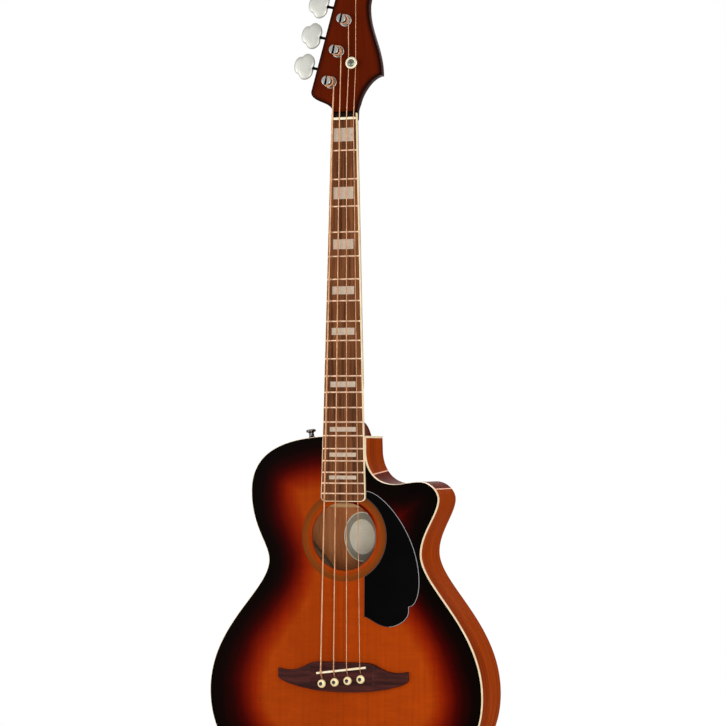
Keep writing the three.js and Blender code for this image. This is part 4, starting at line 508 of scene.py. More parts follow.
def sunburst_top(name):
    """Spruce under a stained burst: mark runs from 0 at the black edge to 1 in the middle."""
    paint = Paint(name, 0.24, shine=0.015)
    place = paint.place()
    rings = paint.waves(paint.stretched(place, (1, 0, 0.012)), 95, 6.0, "X", 3, 1.6)
    thin, wide = wood_lines(paint, place, 900, 150, 60)
    silk = paint.noise(paint.stretched(place, (26, 1, 420)), 1.0, 3, 0.6)
    wander = paint.noise(place, 9, 3)
    cloud = paint.noise(paint.stretched(place, (30, 1, 75)), 1.0, 5, 0.65)
    depth = paint.sum("ADD", paint.mark(), paint.span(wander, 0.3, 0.7, -0.05, 0.05))
    burst = paint.ramp(depth, [
        (0.0, "030100"), (0.18, "0b0100"), (0.34, "210100"), (0.47, "3c0200"), (0.62, "620e01"),
        (0.77, "821e02"), (0.89, "8f2d03"), (1.0, "9b3906"),
    ])
    grain = paint.sum("MULTIPLY", paint.span(rings, 0.1, 0.95, 0.965, 1.02),
                      paint.span(thin, 0.3, 0.7, 0.92, 1.06))
    grain = paint.sum("MULTIPLY", grain, paint.span(wide, 0.3, 0.7, 0.9, 1.08))
    grain = paint.sum("MULTIPLY", grain, paint.span(silk, 0.35, 0.7, 0.94, 1.05))
    grain = paint.sum("MULTIPLY", grain, paint.span(cloud, 0.3, 0.7, 0.92, 1.07))
    across = paint.axis(place, "X")
    joint = paint.span(paint.sum("ABSOLUTE", across), 0.0001, 0.0005, 0.72, 1.0)
    halves = paint.span(across, -0.0002, 0.0002, 0.95, 1.0)
    shade = paint.sum("MULTIPLY", paint.sum("MULTIPLY", grain, joint), halves)
    colour = paint.mix(1.0, burst, shade_colour(paint, shade), "MULTIPLY")
    return paint.finish(colour, paint.span(thin, 0.2, 0.8, 0.24, 0.4), paint.bump(thin, 0.05, 0.0002))


def shade_colour(paint, value):
    """A grey colour from a value that may pass one."""
    made = paint.node("ShaderNodeCombineXYZ")
    for socket in made.inputs:
        paint.wire(socket, value)
    return made.outputs[0]


def stained_wood(name, colours, source="flow", fine=700, broad=70, gloss=0.0, pores=0.5, rough=0.34):
    """Straight-grained wood between a dark and a light stain, with pores, streaks and a lacquer coat."""
    paint = Paint(name, rough, coat=gloss, coat_roughness=0.07, shine=0.0008)
    place = paint.flow() if source == "flow" else paint.place()
    thin, wide = wood_lines(paint, place, fine, broad, 45)
    streak = paint.noise(paint.stretched(place, (broad * 2.6, broad * 2.6, 2.4)), 1.0, 2, 0.5, 0.2)
    blend = paint.sum("ADD", paint.span(wide, 0.3, 0.7, 0, 0.6), paint.span(thin, 0.35, 0.65, 0, 0.4))
    stain = paint.mix(blend, colours[0], colours[1])
    stain = paint.mix(paint.span(streak, 0.55, 0.72, 0, 0.55), stain, colours[2])
    pore = paint.span(thin, 0.30, 0.40, pores, 0.0)
    colour = paint.mix(pore, stain, colours[2])
    return paint.finish(colour, paint.span(thin, 0.25, 0.75, rough + 0.08, rough - 0.06),
                        paint.bump(thin, 0.12, 0.00025))


def mahogany_body(name):
    """Reddish brown mahogany with dark straight streaks."""
    look = settings()
    return stained_wood(name, (tuple(look.side_dark), tuple(look.side_light), linear("471002")))


def mahogany_cutaway(name):
    """The same wood, darker, as painted shade on the cutaway's wall."""
    return stained_wood(name, ("3c0b02", "7a2404", "1c0502"))


def mahogany_neck(name):
    """Dark red-brown mahogany of the neck and heel."""
    look = settings()
    return stained_wood(name, (tuple(look.neck_dark), tuple(look.neck_light), linear("220502")))


def headstock_face(name):
    """The headstock's stain: dark red-brown that turns nearly black at its edges, by mark; the mark also
    paints shade black on the step by the nut.
    """
    paint = Paint(name, 0.24, shine=0.01)
    flow = paint.flow()
    thin, wide = wood_lines(paint, flow, 600, 90, 45)
    red = paint.mix(paint.sum("ADD", paint.span(thin, 0.3, 0.7, 0, 0.5), paint.span(wide, 0.3, 0.7, 0, 0.5)),
                    "481205", "601b03")
    colour = paint.mix(paint.span(paint.mark(), 0.0, 1.0), "0c0403", red)
    return paint.finish(colour, paint.span(thin, 0.2, 0.8, 0.36, 0.26), paint.bump(thin, 0.06, 0.0002))


def rosewood_board(name):
    """Oiled rosewood: brown with near-black lines and open pores, and painted shade past the nut by mark."""
    paint = Paint(name, 0.5, shine=0.05)
    flow = paint.flow()
    thin, wide = wood_lines(paint, flow, 1100, 210, 30)
    brown = paint.mix(paint.span(wide, 0.36, 0.64), "4a2a17", "7e4b2a")
    brown = paint.mix(paint.span(thin, 0.42, 0.3, 0, 0.85), brown, "170907")
    # Painted shade: the board past the nut turns near black.
    brown = paint.mix(paint.span(paint.mark(), 0, 1), brown, "0d0605")
    return paint.finish(brown, paint.span(thin, 0.25, 0.7, 0.68, 0.42), paint.bump(thin, 0.35, 0.0003))


def rosewood_bridge(name):
    """The bridge's darker rosewood, rubbed to a satin sheen with grain along X."""
    paint = Paint(name, 0.42, shine=0.06)
    turned = paint.stretched(paint.place(), (1, 1, 1), (0, math.pi / 2, 0))
    thin, wide = wood_lines(paint, turned, 1000, 190, 26)
    brown = paint.mix(paint.span(wide, 0.36, 0.64), "260f0d", "441d19")
    brown = paint.mix(paint.span(thin, 0.42, 0.3, 0, 0.7), brown, "0a0505")
    return paint.finish(brown, paint.span(thin, 0.25, 0.7, 0.56, 0.36), paint.bump(thin, 0.3, 0.0003))


def raw_wood(name, grain, first, second, line, line_span):
    """Unlacquered wood: broad bands between two browns, fine darker lines and a rough surface."""
    paint = Paint(name, 0.7)
    thin, wide = wood_lines(paint, paint.place(), *grain)
    brown = paint.mix(paint.span(wide, 0.3, 0.7), first, second)
    brown = paint.mix(paint.span(thin, *line_span), brown, line)
    return paint.finish(brown, paint.span(thin, 0.2, 0.8, 0.8, 0.6), paint.bump(thin, 0.3, 0.0003))


def inner_spruce(name):
    """Raw spruce of braces and linings with darker growth lines, in a dark brown that is painted shade for
    the inside of the body.
    """
    return raw_wood(name, (800, 160, 30), "3a2614", "4c331c", "30200f", (0.5, 0.68, 0, 0.5))


def inner_mahogany(name):
    """Raw mahogany of the blocks and the bridge plate."""
    return raw_wood(name, (700, 90, 35), "8a4a2c", "a8623c", "5c2c18", (0.42, 0.3, 0, 0.6))


def back_wood(name):
    """The back, whose mark is 0 outside, 0.5 inside and 1 on its braces; a joint runs down its middle."""
    paint = Paint(name, 0.3, shine=0.012)
    place, look = paint.place(), settings()
    thin, wide = wood_lines(paint, place, 700, 60, 45)
    outer = paint.mix(paint.span(wide, 0.3, 0.7), tuple(look.side_dark), tuple(look.side_light))
    # Partly painted light: the raw inside is lighter than the stained outside, and painted lighter still for
    # the dim inside of the body.
    inner = paint.mix(paint.span(wide, 0.3, 0.7), "b0653a", "d28654")
    wood = paint.mix(paint.span(paint.mark(), 0, 0.5), outer, inner)
    dark = paint.span(thin, 0.42, 0.3, 0, 0.45)
    wood = paint.mix(dark, wood, "4a1c0c")
    joint = paint.span(paint.sum("ABSOLUTE", paint.axis(place, "X")), 0.0002, 0.0008, 0.6, 0.0)
    wood = paint.mix(joint, wood, "2c0f06")
    brace = paint.mix(dark, "f2bd82", "c08450")
    wood = paint.mix(paint.span(paint.mark(), 0.5, 1), wood, brace)
    rough = paint.span(paint.mark(), 0, 0.5, 0.3, 0.65)
    return paint.finish(wood, rough, paint.bump(thin, 0.1, 0.00025))


def cream_edging(name):
    """Aged cream celluloid with faint long streaks, peach on the strips, where mark is one."""
    look = settings()
    paint = Paint(name, 0.32, coat=0.03, coat_roughness=0.1, shine=0.05)
    place = paint.place()
    cloud = paint.noise(place, 55, 4, 0.6)
    fleck = paint.noise(paint.stretched(place, (240, 240, 30)), 1.0, 3)
    base = paint.mix(paint.span(cloud, 0.35, 0.65), tuple(look.edging_colour), "e3c9a0")
    base = paint.mix(paint.span(fleck, 0.58, 0.75, 0, 0.35), base, "caa878")
    base = paint.mix(paint.span(paint.mark(), 0, 1), base, "e59a6c")
    return paint.finish(base, paint.span(cloud, 0.3, 0.7, 0.22, 0.36), paint.bump(fleck, 0.04, 0.0002))


def bone(name):
    """Polished bone: ivory with a soft glow, fine pores and faint yellow clouds."""
    paint = Paint(name, 0.3, coat=0.25, coat_roughness=0.15)
    place = paint.place()
    cloud = paint.noise(place, 160, 4, 0.6)
    pore = paint.noise(paint.stretched(place, (2600, 2600, 500)), 1.0, 3)
    base = paint.mix(paint.span(cloud, 0.3, 0.7), "f1e6cc", "e2cfa8")
    base = paint.mix(paint.span(pore, 0.62, 0.74, 0, 0.35), base, "b79c72")
    paint.shader.inputs["Subsurface Weight"].default_value = 0.08
    paint.shader.inputs["Subsurface Scale"].default_value = 0.002
    return paint.finish(base, paint.span(pore, 0.3, 0.7, 0.25, 0.4), paint.bump(pore, 0.08, 0.0001))


def pin_bone(name):
    """A bridge pin: ivory, with a black dot where mark is one."""
    paint = Paint(name, 0.25, coat=0.4, coat_roughness=0.1)
    place = paint.place()
    cloud = paint.noise(place, 220, 4, 0.6)
    base = paint.mix(paint.span(cloud, 0.3, 0.7), "f2dfb0", "e0c58c")
    base = paint.mix(paint.span(paint.mark(), 0.4, 0.6), base, "0b0908")
    return paint.finish(base, paint.span(cloud, 0.3, 0.7, 0.2, 0.34), paint.bump(cloud, 0.03, 0.0001))


def guard_black(name):
    """Gloss black sheet with fine rub marks; its bevel shows a pale ply where mark is one, dimmed as painted
    shade where mark is lower.
    """
    paint = Paint(name, 0.1, shine=0.015)
    place = paint.place()
    rub = paint.noise(paint.stretched(place, (60, 60, 900)), 1.0, 5, 0.7, 0.6)
    cloud = paint.noise(place, 14, 3)
    base = paint.mix(paint.span(cloud, 0.3, 0.7), "030303", "060505")
    base = paint.mix(paint.mark(), base, "9b9a9c")
    return paint.finish(base, paint.span(rub, 0.45, 0.75, 0.1, 0.24), paint.bump(rub, 0.02, 0.0001))


def ring_inlay(name):
    """The rosette, by the radius in mark: plain orange wood round the hole, then thin stained rings."""
    paint = Paint(name, 0.24, shine=0.015)
    place = paint.place()
    radius = paint.mark()
    speck = paint.noise(place, 900, 3)
    thin, _ = wood_lines(paint, place, 900, 150, 60)
    wood = paint.mix(paint.span(thin, 0.3, 0.7), "7c2d08", "8d3a0c")
    first, last, plain_edge = 51.5, 63.0, 56.2
    edges = [
        (51.6, 0), (plain_edge, 1), (56.9, 2), (58.4, 3), (58.8, 2), (60.1, 3), (60.5, 2), (61.7, 4),
        (62.4, 0),
    ]
    inks = ("7b320c", "604817", "7b370e", "6e3611", "443819")
    stops = [((edge - first) / (last - first), inks[k]) for edge, k in edges]
    rings = paint.ramp(paint.span(radius, first, last), stops)
    rings.node.color_ramp.interpolation = "CONSTANT"
    rings = paint.mix(paint.span(speck, 0.4, 0.65, 0, 0.3), rings, "4a2a0c")
    plain = paint.span(radius, plain_edge, plain_edge - 0.01)
    colour = paint.mix(plain, rings, wood)
    return paint.finish(colour, paint.span(speck, 0.3, 0.7, 0.25, 0.36), paint.bump(speck, 0.03, 0.0001))


def pearl(name):
    """Mother of pearl: pale layers that drift between rose and green."""
    paint = Paint(name, 0.3, coat=0.1, coat_roughness=0.15, shine=0.15)
    place = paint.place()
    drift = paint.noise(paint.stretched(place, (60, 60, 190)), 1.0, 4, 0.6, 1.2)
    layer = paint.noise(place, 420, 4, 0.6, 0.8)
    base = paint.ramp(drift, [
        (0.30, "9c8873"), (0.42, "bea68c"), (0.5, "aba18c"), (0.58, "c29f8c"), (0.7, "968675"),
    ])
    base = paint.mix(paint.span(layer, 0.35, 0.7, 0, 0.4), base, "cfc0b0")
    paint.shader.inputs["Sheen Weight"].default_value = 0.15
    return paint.finish(base, paint.span(layer, 0.3, 0.7, 0.16, 0.32), paint.bump(layer, 0.08, 0.0001))


def metal(name, colour, rough, brushed=(900, 900, 60), spread=0.08, strength=0.04, shade_by_mark=False):
    """Worked metal: one tint with fine brushed lines and slightly uneven gloss; where asked, painted shade
    turns it black by mark.
    """
    paint = Paint(name, rough, metallic=1.0)
    place = paint.place()
    line = paint.noise(paint.stretched(place, brushed), 1.0, 4, 0.6)
    cloud = paint.noise(place, 45, 3)
    tint = linear(colour) if isinstance(colour, str) else colour
    dull = tuple(c * 0.86 for c in tint[:3]) + (1.0,)
    base = paint.mix(paint.span(cloud, 0.3, 0.7), tint, dull)
    if shade_by_mark:
        # Painted shade: where mark is high, the tint turns black.
        base = paint.mix(paint.span(paint.mark(), 0.3, 0.7), base, "060505")
    rough_map = paint.span(line, 0.3, 0.7, rough - spread / 2, rough + spread)
    return paint.finish(base, rough_map, paint.bump(line, strength, 0.0001))


def satin_key(name):
    """Satin silver of the tuning keys and their plates, with painted shade turning the shafts black by mark.
    """
    return metal(name, tuple(settings().key_colour), 0.45, shade_by_mark=True)


def bright_nickel(name):
    """Polished nickel of posts and bushings, with painted shade turning the posts' slots black where mark is
    one.
    """
    return metal(name, "a5a39f", 0.14, spread=0.05, shade_by_mark=True)


def fret_wire(name):
    """Fret wire, polished along its crown."""
    return metal(name, "d8b496", 0.34, (60, 900, 900))


def plain_steel(name):
    """Oiled steel of the truss rod."""
    return metal(name, "77767a", 0.42)


def gear_brass(name):
    """Cut brass of the tuner wheels."""
    return metal(name, "8c6634", 0.36, strength=0.1)


def wound_bronze(name):
    """Bronze winding: ridges across the wire every winding pitch, along the length in flow, with painted
    shade in the grooves between them.
    """
    look = settings()
    paint = Paint(name, 0.3, metallic=1.0)
    flow = paint.flow()
    ridge = paint.waves(flow, 0.32 / look.winding_pitch, 0, "Y", 0)
    cloud = paint.noise(paint.stretched(flow, (40, 40, 40)), 1.0, 3)
    base = paint.mix(paint.span(cloud, 0.3, 0.7), tuple(look.string_colour), "b98560")
    # Painted shade: the grooves between the windings are darkened.
    base = paint.mix(paint.span(ridge, 0.0, 0.45, 0.65, 0.0), base, "6b452e")
    return paint.finish(base, paint.span(cloud, 0.3, 0.7, 0.26, 0.4), paint.bump(ridge, 0.5, 0.0002))


def dark_nickel(name):
    """Black nickel of the strap buttons."""
    return metal(name, "5c5855", 0.22)


def washer_metal(name):
    """Satin plating of the string retainer, tinted warm cream as a painted reflection of the strings and wood
    round it.
    """
    # Painted reflection: the warm cream tint.
    return metal(name, "cdc5ac", 0.4)


def dark_screw(name):
    """Blackened steel of the retainer's screw."""
    return metal(name, "72756c", 0.34, strength=0.1)


def label_paper(name):
    """A bare oval paper label: warm cream fibres, with a plain grey border by mark."""
    paint = Paint(name, 0.8)
    place = paint.place()
    fibre = paint.noise(place, 900, 4)
    stain = paint.noise(place, 60, 3)
    base = paint.mix(paint.span(stain, 0.3, 0.7), "fdf5df", "f3e6c8")
    base = paint.mix(paint.span(fibre, 0.55, 0.7, 0, 0.3), base, "c6b188")
    border = paint.sum("MULTIPLY", paint.span(paint.mark(), 0.7, 0.71), paint.span(paint.mark(), 0.96, 0.95))
    speckle = paint.span(paint.noise(place, 2600, 2), 0.3, 0.7, 0.5, 0.8)
    base = paint.mix(paint.sum("MULTIPLY", border, speckle), base, "5d5646")
    return paint.finish(base, paint.span(fibre, 0.3, 0.7, 0.7, 0.9), paint.bump(fibre, 0.15, 0.0001))


def finish(maker):
    """A finish made once and shared by like pieces."""
    name = maker.__name__.replace("_", " ") + " finish"
    return bpy.data.materials.get(name) or maker(name)


# Body


def edge_distance(x, z):
    """The distance in the board's plane from each point to the nearest station of the rim."""
    shape = np.shape(x)
    flat = np.stack([np.ravel(x), np.ravel(z)], -1)
    nearest = np.full(len(flat), np.inf)
    for part in np.array_split(RIM, 8):
        span = np.linalg.norm(flat[:, None] - part[None], axis=2).min(1)
        nearest = np.minimum(nearest, span)
    return nearest.reshape(shape)


def burst_depth(x, z):
    """How far a point lies inside the black edge: 0 in the black, 1 past the fade, from its edge distance.

    Four bell-shaped patches, each about one part of the body, make the band and its fade wider or narrower.
    """
    def near(across, below_join, reach_x, reach_z):
        return np.exp(-(((x - across) / reach_x) ** 2 + ((z - JOIN_Z + below_join) / reach_z) ** 2))
    cutaway, treble_waist = near(80, 85, 50, 40), near(125, 205, 60, 60)
    bass_waist, bass_bout = near(-120, 190, 50, 80), near(-190, 360, 70, 110)
    look = settings()
    band = look.black_band / MM * (1 + 0.5 * cutaway + 0.3 * bass_bout)
    fade = look.burst_fade / MM * (1 - 0.35 * treble_waist - 0.12 * bass_waist + 0.42 * bass_bout)
    depth_at_band = 0.3
    return np.clip((edge_distance(x, z) - band) / fade + depth_at_band, 0, 1)


def make_soundboard():
    """Rays from the soundhole's centre to the rim: rows are radii, with the ring's groove and both faces."""
    skin = Skin()
    outline = RIM + RIM_IN * (EDGING_WIDTH + SEAM)
    centre = np.array([0.0, HOLE_Z])
    ray = outline - centre
    reach = np.linalg.norm(ray, axis=1)
    ray /= reach[:, None]
    inner, outer = RING_INNER - SEAM, RING_OUTER + SEAM
    lip = 0.5
    fixed = [(HOLE_RADIUS, TOP_THICK), (HOLE_RADIUS, lip), (HOLE_RADIUS + lip * 0.3, lip * 0.3),
             (HOLE_RADIUS + lip, 0), (inner, 0), (inner, RING_THICK), (outer, RING_THICK), (outer, 0)]
    radii = [np.full(len(ray), r) for r, _ in fixed]
    heights = [y for _, y in fixed]
    for share in np.linspace(0, 1, 46)[1:]:
        radii.append(outer + (reach - outer) * share)
        heights.append(0)
    for share in (1, 0.75, 0.5, 0.25):
        radii.append(HOLE_RADIUS + (reach - HOLE_RADIUS) * share)
        heights.append(TOP_THICK)
    radii, heights = np.array(radii), np.array(heights, float)
    plane = centre + ray[None] * radii[..., None]
    x, z = plane[..., 0], plane[..., 1]
    points = np.stack([x, heights[:, None] + 0 * x, z], -1)
    skin.grid(points, close_rows=True, close_columns=True, mark=burst_depth(x, z))
    skin.make("burst_soundboard", "guitar", finish(sunburst_top), ["soundboard"])


def make_rosette():
    """A flat ring turned about the soundhole's axis, its radius kept in mark for the rings' colours."""
    radii = np.linspace(RING_INNER, RING_OUTER, 24)
    skin = Skin()
    profile = [(RING_INNER, RING_THICK)] + [(r, 0.0) for r in radii] + [(RING_OUTER, RING_THICK)]
    profile = np.array(profile + profile[:1])
    lathe(skin, profile, 0, HOLE_Z, 128, mark=profile[:, :1])
    skin.make("rosette_ring", "guitar", finish(ring_inlay), ["rosette"])


def rail(skin, start, end, section, lean=(0.0, 0.0), mark=0.0):
    """Carries a closed section of inset and depth along the rim, from one distance to another.

    The places at the back lie further round than those at the front by lean, which runs from its
    first value at the start to its second at the end.
    """
    along = rim_between(start, end) if start >= 0 else np.array([start, 0, end])
    share = (along - start) / (end - start)
    front, back = rim_at(along), rim_at(along + lean[0] + (lean[1] - lean[0]) * share)
    rows = []
    for inset, depth in section:
        place, inward = back if callable(depth) else front
        at = place + inward * inset
        y = depth(at[:, 0], at[:, 1]) if callable(depth) else np.full(len(at), float(depth))
        rows.append(np.stack([at[:, 0], y, at[:, 1]], -1))
    points = np.stack(rows, 1)
    flow = np.stack([points[..., 1], np.zeros(points.shape[:2]), along[:, None] + 0 * points[..., 1]], -1)
    skin.solid(points, flow=flow, mark=mark)


def back_foot(x, z):
    """Where the sides end: the back's inner face."""
    return back_y(x, z) - BACK_THICK


def make_sides():
    """Four walls: a thin section carried along the rim from the edging to the back."""
    section = [(0, EDGING_DEPTH), (0, back_foot), (SIDE_THICK, back_foot), (SIDE_THICK, EDGING_DEPTH)]
    half = STRIP_WIDTH / 2
    upright, into_lean, out_of_lean = (0, 0), (0, INNER_LEAN), (INNER_LEAN, 0)
    walls = [
        ("bass", CORNER_POST, TAIL_SEAM - SEAM, mahogany_body, upright),
        ("treble", TAIL_SEAM + SEAM, HORN_SEAM - half, mahogany_body, upright),
        # Painted shade: the cutaway's wall takes the darker wood.
        ("cutaway", HORN_SEAM + half, INNER_SEAM - half, mahogany_cutaway, into_lean),
        ("shoulder", INNER_SEAM + half, RIM_LENGTH - CORNER_POST, mahogany_body, out_of_lean),
    ]
    for name, start, end, maker, lean in walls:
        skin = Skin()
        rail(skin, start, end, section, lean)
        skin.make(f"side_wall_{name}", "guitar", finish(maker), [f"side_{name}"])


def make_body_edging():
    """A round-edged ring about the soundboard, two peach strips down the sides and the corner post."""
    corner = rounded_profile([(0, EDGING_DEPTH), (0, 0), (EDGING_WIDTH, 0)], 0.35)
    section = np.concatenate([corner, [(EDGING_WIDTH, EDGING_DEPTH)]])
    place = RIM[:, None] + RIM_IN[:, None] * section[None, :, :1]
    depth = np.broadcast_to(section[None, :, 1], place.shape[:2])
    skin = Skin()
    skin.grid(np.stack([place[..., 0], depth, place[..., 1]], -1), close_rows=True, close_columns=True)
    proud, top, half = -0.02, EDGING_DEPTH - 1, STRIP_WIDTH / 2
    strip = [(proud, top), (proud, back_foot), (SIDE_THICK, back_foot), (SIDE_THICK, top)]
    rail(skin, HORN_SEAM - half, HORN_SEAM + half, strip, mark=1.0)
    rail(skin, INNER_SEAM - half, INNER_SEAM + half, strip, (INNER_LEAN, INNER_LEAN), 1.0)
    rail(skin, -CORNER_POST, CORNER_POST, strip)
    skin.make("cream_body_edging", "guitar", finish(cream_edging), ["body_binding"])


def make_back():
    """A domed plate: rings of the rim drawn in to a middle point, with a rounded edge, plus its braces."""
    hub = np.array([0.0, JOIN_Z - BODY_LENGTH / 2])
    edge, glued = 2.2, 9
    skin = Skin()

    def ring(at, rise):
        return np.stack([at[:, 0], back_y(at[:, 0], at[:, 1]) - rise, at[:, 1]], -1)

    turn = np.linspace(0, np.pi / 2, 6)
    foot = ring(RIM, BACK_THICK)
    outer = [foot] + [ring(RIM + RIM_IN * edge * (1 - math.cos(t)), edge * (1 - math.sin(t))) for t in turn]
    drawn = RIM + RIM_IN * edge
    shares = np.linspace(1, 0, 16)[1:]
    outer += [ring(hub + (drawn - hub) * share, 0) for share in shares]
    drawn_inner = RIM + RIM_IN * glued
    inner = [foot] + [ring(hub + (drawn_inner - hub) * share, BACK_THICK) for share in (1, *shares)]
    skin.grid(outer, close_columns=True, mark=0)
    skin.grid(inner, close_columns=True, mark=np.r_[0, np.full(len(inner) - 1, 0.5)][:, None])
    first, last = JOIN_Z - 99, TAIL_Z + 70
    near_brace, wall_gap, end_run, brace_half, sunk = 7, 12, 40, 4.5, 0.2
    low_height, added_height = 4, 8
    turn = np.linspace(0, np.pi, 9)
    for z in np.linspace(first, last, 4):
        crossing = RIM[np.abs(RIM[:, 1] - z) < near_brace, 0]
        low, high = crossing[crossing < 0].max() + wall_gap, crossing[crossing > 0].min() - wall_gap
        x = np.linspace(low, high, 25)
        rise = np.clip(np.minimum(x - low, high - x) / end_run, 0, 1)
        height = low_height + added_height * (3 * rise ** 2 - 2 * rise ** 3)
        y = back_foot(x, z)[:, None] - height[:, None] * np.sin(turn)[None] ** 0.5 + sunk
        across = z + brace_half * np.cos(turn)[None]
        points = np.stack(np.broadcast_arrays(x[:, None], y, across), -1)
        skin.solid(points, mark=1.0)
    skin.make("domed_back", "guitar", finish(back_wood), ["back_plate"])


def guard_outline():
    """The guard: an arc round the rosette, then curves by the fretboard, the waist and its hooked foot."""
    hollow = RING_OUTER + 0.6
    room = HOLE_Z - SADDLE_Z - BRIDGE_CREST
    heel_x = 31
    tip_z = HOLE_Z + RING_OUTER + 1.3
    tip = (float(board_half(tip_z)) + 0.6, tip_z)
    flank, toe = (112.2, HOLE_Z - room * 0.355), (97, HOLE_Z - room * 0.548)
    notch, foot = (toe[0], toe[1] - 6), (67, HOLE_Z - room * 0.7125)
    heel = (heel_x, HOLE_Z - room * 0.6375)
    turn = np.linspace(math.asin(heel_x / hollow), math.pi - math.asin(tip[0] / hollow), GUARD_ARC_COUNT)
    arc = np.stack([hollow * np.sin(turn), HOLE_Z - hollow * np.cos(turn)], 1)
    return np.concatenate([
        arc,
        bend(tip, flank, False, True, (0.32, 0.528), GUARD_BEND_COUNTS[0]),
        bend(flank, toe, True, False, (0.55, 0.6), GUARD_BEND_COUNTS[1]),
        np.linspace(toe, notch, GUARD_BEND_COUNTS[2], endpoint=False),
        bend(notch, foot, True, False, (0.62, 0.334), GUARD_BEND_COUNTS[3]),
        bend(foot, heel, False, False, (0.45, 0.2), 20), [heel],
    ])


def make_guard():
    """A thin plate: its outline drawn in by the bevel at the front, with the pale ply on the bevel.

    The ply is fully pale down the outer edge; round the rosette and along the foot it is dimmed as painted
    shade, most along the foot.
    """
    outline = guard_outline()
    normal = mitred(outline)
    rows = [
        (0.0, -0.02, 0), (0.0, -1.2, 0), (0.04, -1.25, 1), (0.6, -1.82, 1), (0.65, -1.87, 0), (0.9, -2.0, 0),
    ]
    points = []
    for inset, y, _ in rows:
        at = outline + normal * inset
        points.append(np.stack([at[:, 0], np.full(len(at), y), at[:, 1]], -1))
    skin = Skin()
    outer_edge = sum(GUARD_BEND_COUNTS)
    counts = [GUARD_ARC_COUNT, outer_edge, len(outline) - GUARD_ARC_COUNT - outer_edge]
    # Painted shade: the ply is dimmed round the rosette and along the foot.
    pale = np.repeat([0.3, 1.0, 0.2], counts)
    mark = np.array([m for *_, m in rows], float)[:, None] * pale
    skin.solid(points, mark=mark)
    skin.make("gloss_pickguard", "guitar", finish(guard_black), ["pickguard"], crease=20)


# Bridge


def rounding(share):
    """How far a quarter circle of radius one lies below its top: 1 at share 0, and 0 from share 1 on."""
    return 1 - np.sqrt(1 - (1 - np.clip(share, 0, 1)) ** 2)


def saddle_crest(x):
    """The saddle's crowned crest: a circle of the crown's radius across the strings."""
    return SADDLE_TOP + SADDLE_CROWN - np.sqrt(SADDLE_CROWN ** 2 - x * x)


def bridge_edges(x):
    """The bridge's top and foot edges at any distance from its middle, from their two curves."""
    tip, shoulder = (BRIDGE_HALF, SADDLE_Z + 0.1), (81, SADDLE_Z - 1.9)
    crest = (34, SADDLE_Z + BRIDGE_CREST)
    top = np.concatenate([
        [(0, crest[1])], bend(crest, shoulder, False, False, (0.4, 0.5), 24),
        bend(shoulder, tip, False, False, (0.5, 0.2), 12), [tip],
    ])
    tip_foot = (BRIDGE_HALF, tip[1] - 11.7)
    foot = np.concatenate([bend((0, SADDLE_Z - 30.8), tip_foot, False, True, (0.62, 0.35), 60), [tip_foot]])
    x = np.abs(x)
    return np.interp(x, top[:, 0], top[:, 1]), np.interp(x, foot[:, 0], foot[:, 1])


def make_bridge():
    """Sections across the bridge: a rounded block whose front falls away in a scoop to thin wings."""
    wing_start, wing_height, tip_height, end_radius, radius, under = 48, 7.3, 4.2, 0.8, 1.1, -0.02
    x = np.concatenate([
        np.linspace(0, 44, 12), np.linspace(BRIDGE_BLOCK_HALF, wing_start, 5), np.linspace(50, 95.2, 28),
        [96.2, 96.8, BRIDGE_HALF],
    ])
    x = np.concatenate([-x[:0:-1], x])
    top, foot = bridge_edges(x)
    out = np.abs(x)
    step = np.interp(out, [BRIDGE_BLOCK_HALF, 46, wing_start], [BRIDGE_BLOCK_HEIGHT, 7.8, wing_height])
    wing = np.clip((BRIDGE_HALF - out) / (BRIDGE_HALF - wing_start), 0, 1)
    scoop = tip_height + (wing_height - tip_height) * wing ** 1.5
    front = np.where(out < wing_start, step, scoop)
    front = front - end_radius * rounding((BRIDGE_HALF - out) / end_radius)
    turn = np.linspace(0, np.pi / 2, 5)
    upper = np.stack([np.stack([top - radius + radius * np.cos(t), -front + radius - radius * np.sin(t)], -1)
                      for t in turn], 1)
    lower = np.stack([np.stack([foot + radius - radius * np.sin(t), -front + radius - radius * np.cos(t)], -1)
                      for t in turn], 1)
    flat = np.linspace(1, 0, 7)[1:-1]
    middle = upper[:, -1:] * flat[None, :, None] + lower[:, :1] * (1 - flat[None, :, None])
    base_top = np.stack([top, np.full(len(x), under)], -1)[:, None]
    base_foot = np.stack([foot, np.full(len(x), under)], -1)[:, None]
    section = np.concatenate([base_top, upper, middle, lower, base_foot], 1)
    points = np.stack([np.broadcast_to(x[:, None], section.shape[:2]), section[..., 1], section[..., 0]], -1)
    skin = Skin()
    skin.solid(points)
    skin.make("scooped_bridge", "guitar", finish(rosewood_bridge), ["bridge"], crease=30)


def make_saddle():
    """A bone bar with a round crest that follows a crown, turned a little to the strings."""
    half_thick, end_radius, end_pinch, foot = 1.6, 0.8, 0.5, -4.5
    u = np.concatenate([
        [-SADDLE_HALF, -SADDLE_HALF + 0.2], np.linspace(-36.2, 36.2, 33), [SADDLE_HALF - 0.2, SADDLE_HALF],
    ])
    end = rounding((SADDLE_HALF - np.abs(u)) / end_radius)
    half = half_thick - end_pinch * end
    crest = saddle_crest(u) + end_radius * end
    turn = np.linspace(0, np.pi, 11)
    v = np.concatenate([half[:, None], half[:, None] * np.cos(turn)[None], -half[:, None]], 1)
    low = np.full((len(u), 1), foot)
    y = np.concatenate([low, crest[:, None] + half_thick * (1 - np.sin(turn)[None]), low], 1)
    slant = math.atan(SADDLE_SLOPE)
    x = u[:, None] * math.cos(slant) - v * math.sin(slant)
    z = SADDLE_Z + u[:, None] * math.sin(slant) + v * math.cos(slant)
    skin = Skin()
    skin.solid(np.stack([x, y, z], -1))
    skin.make("crowned_saddle", "guitar", finish(bone), ["saddle"])


def pin_place(i):
    """Where a bridge pin stands: evenly spaced, a set distance below the saddle."""
    x = (i - 1.5) * PIN_SPACING
    return x, SADDLE_Z + x * SADDLE_SLOPE - PIN_BELOW_SADDLE


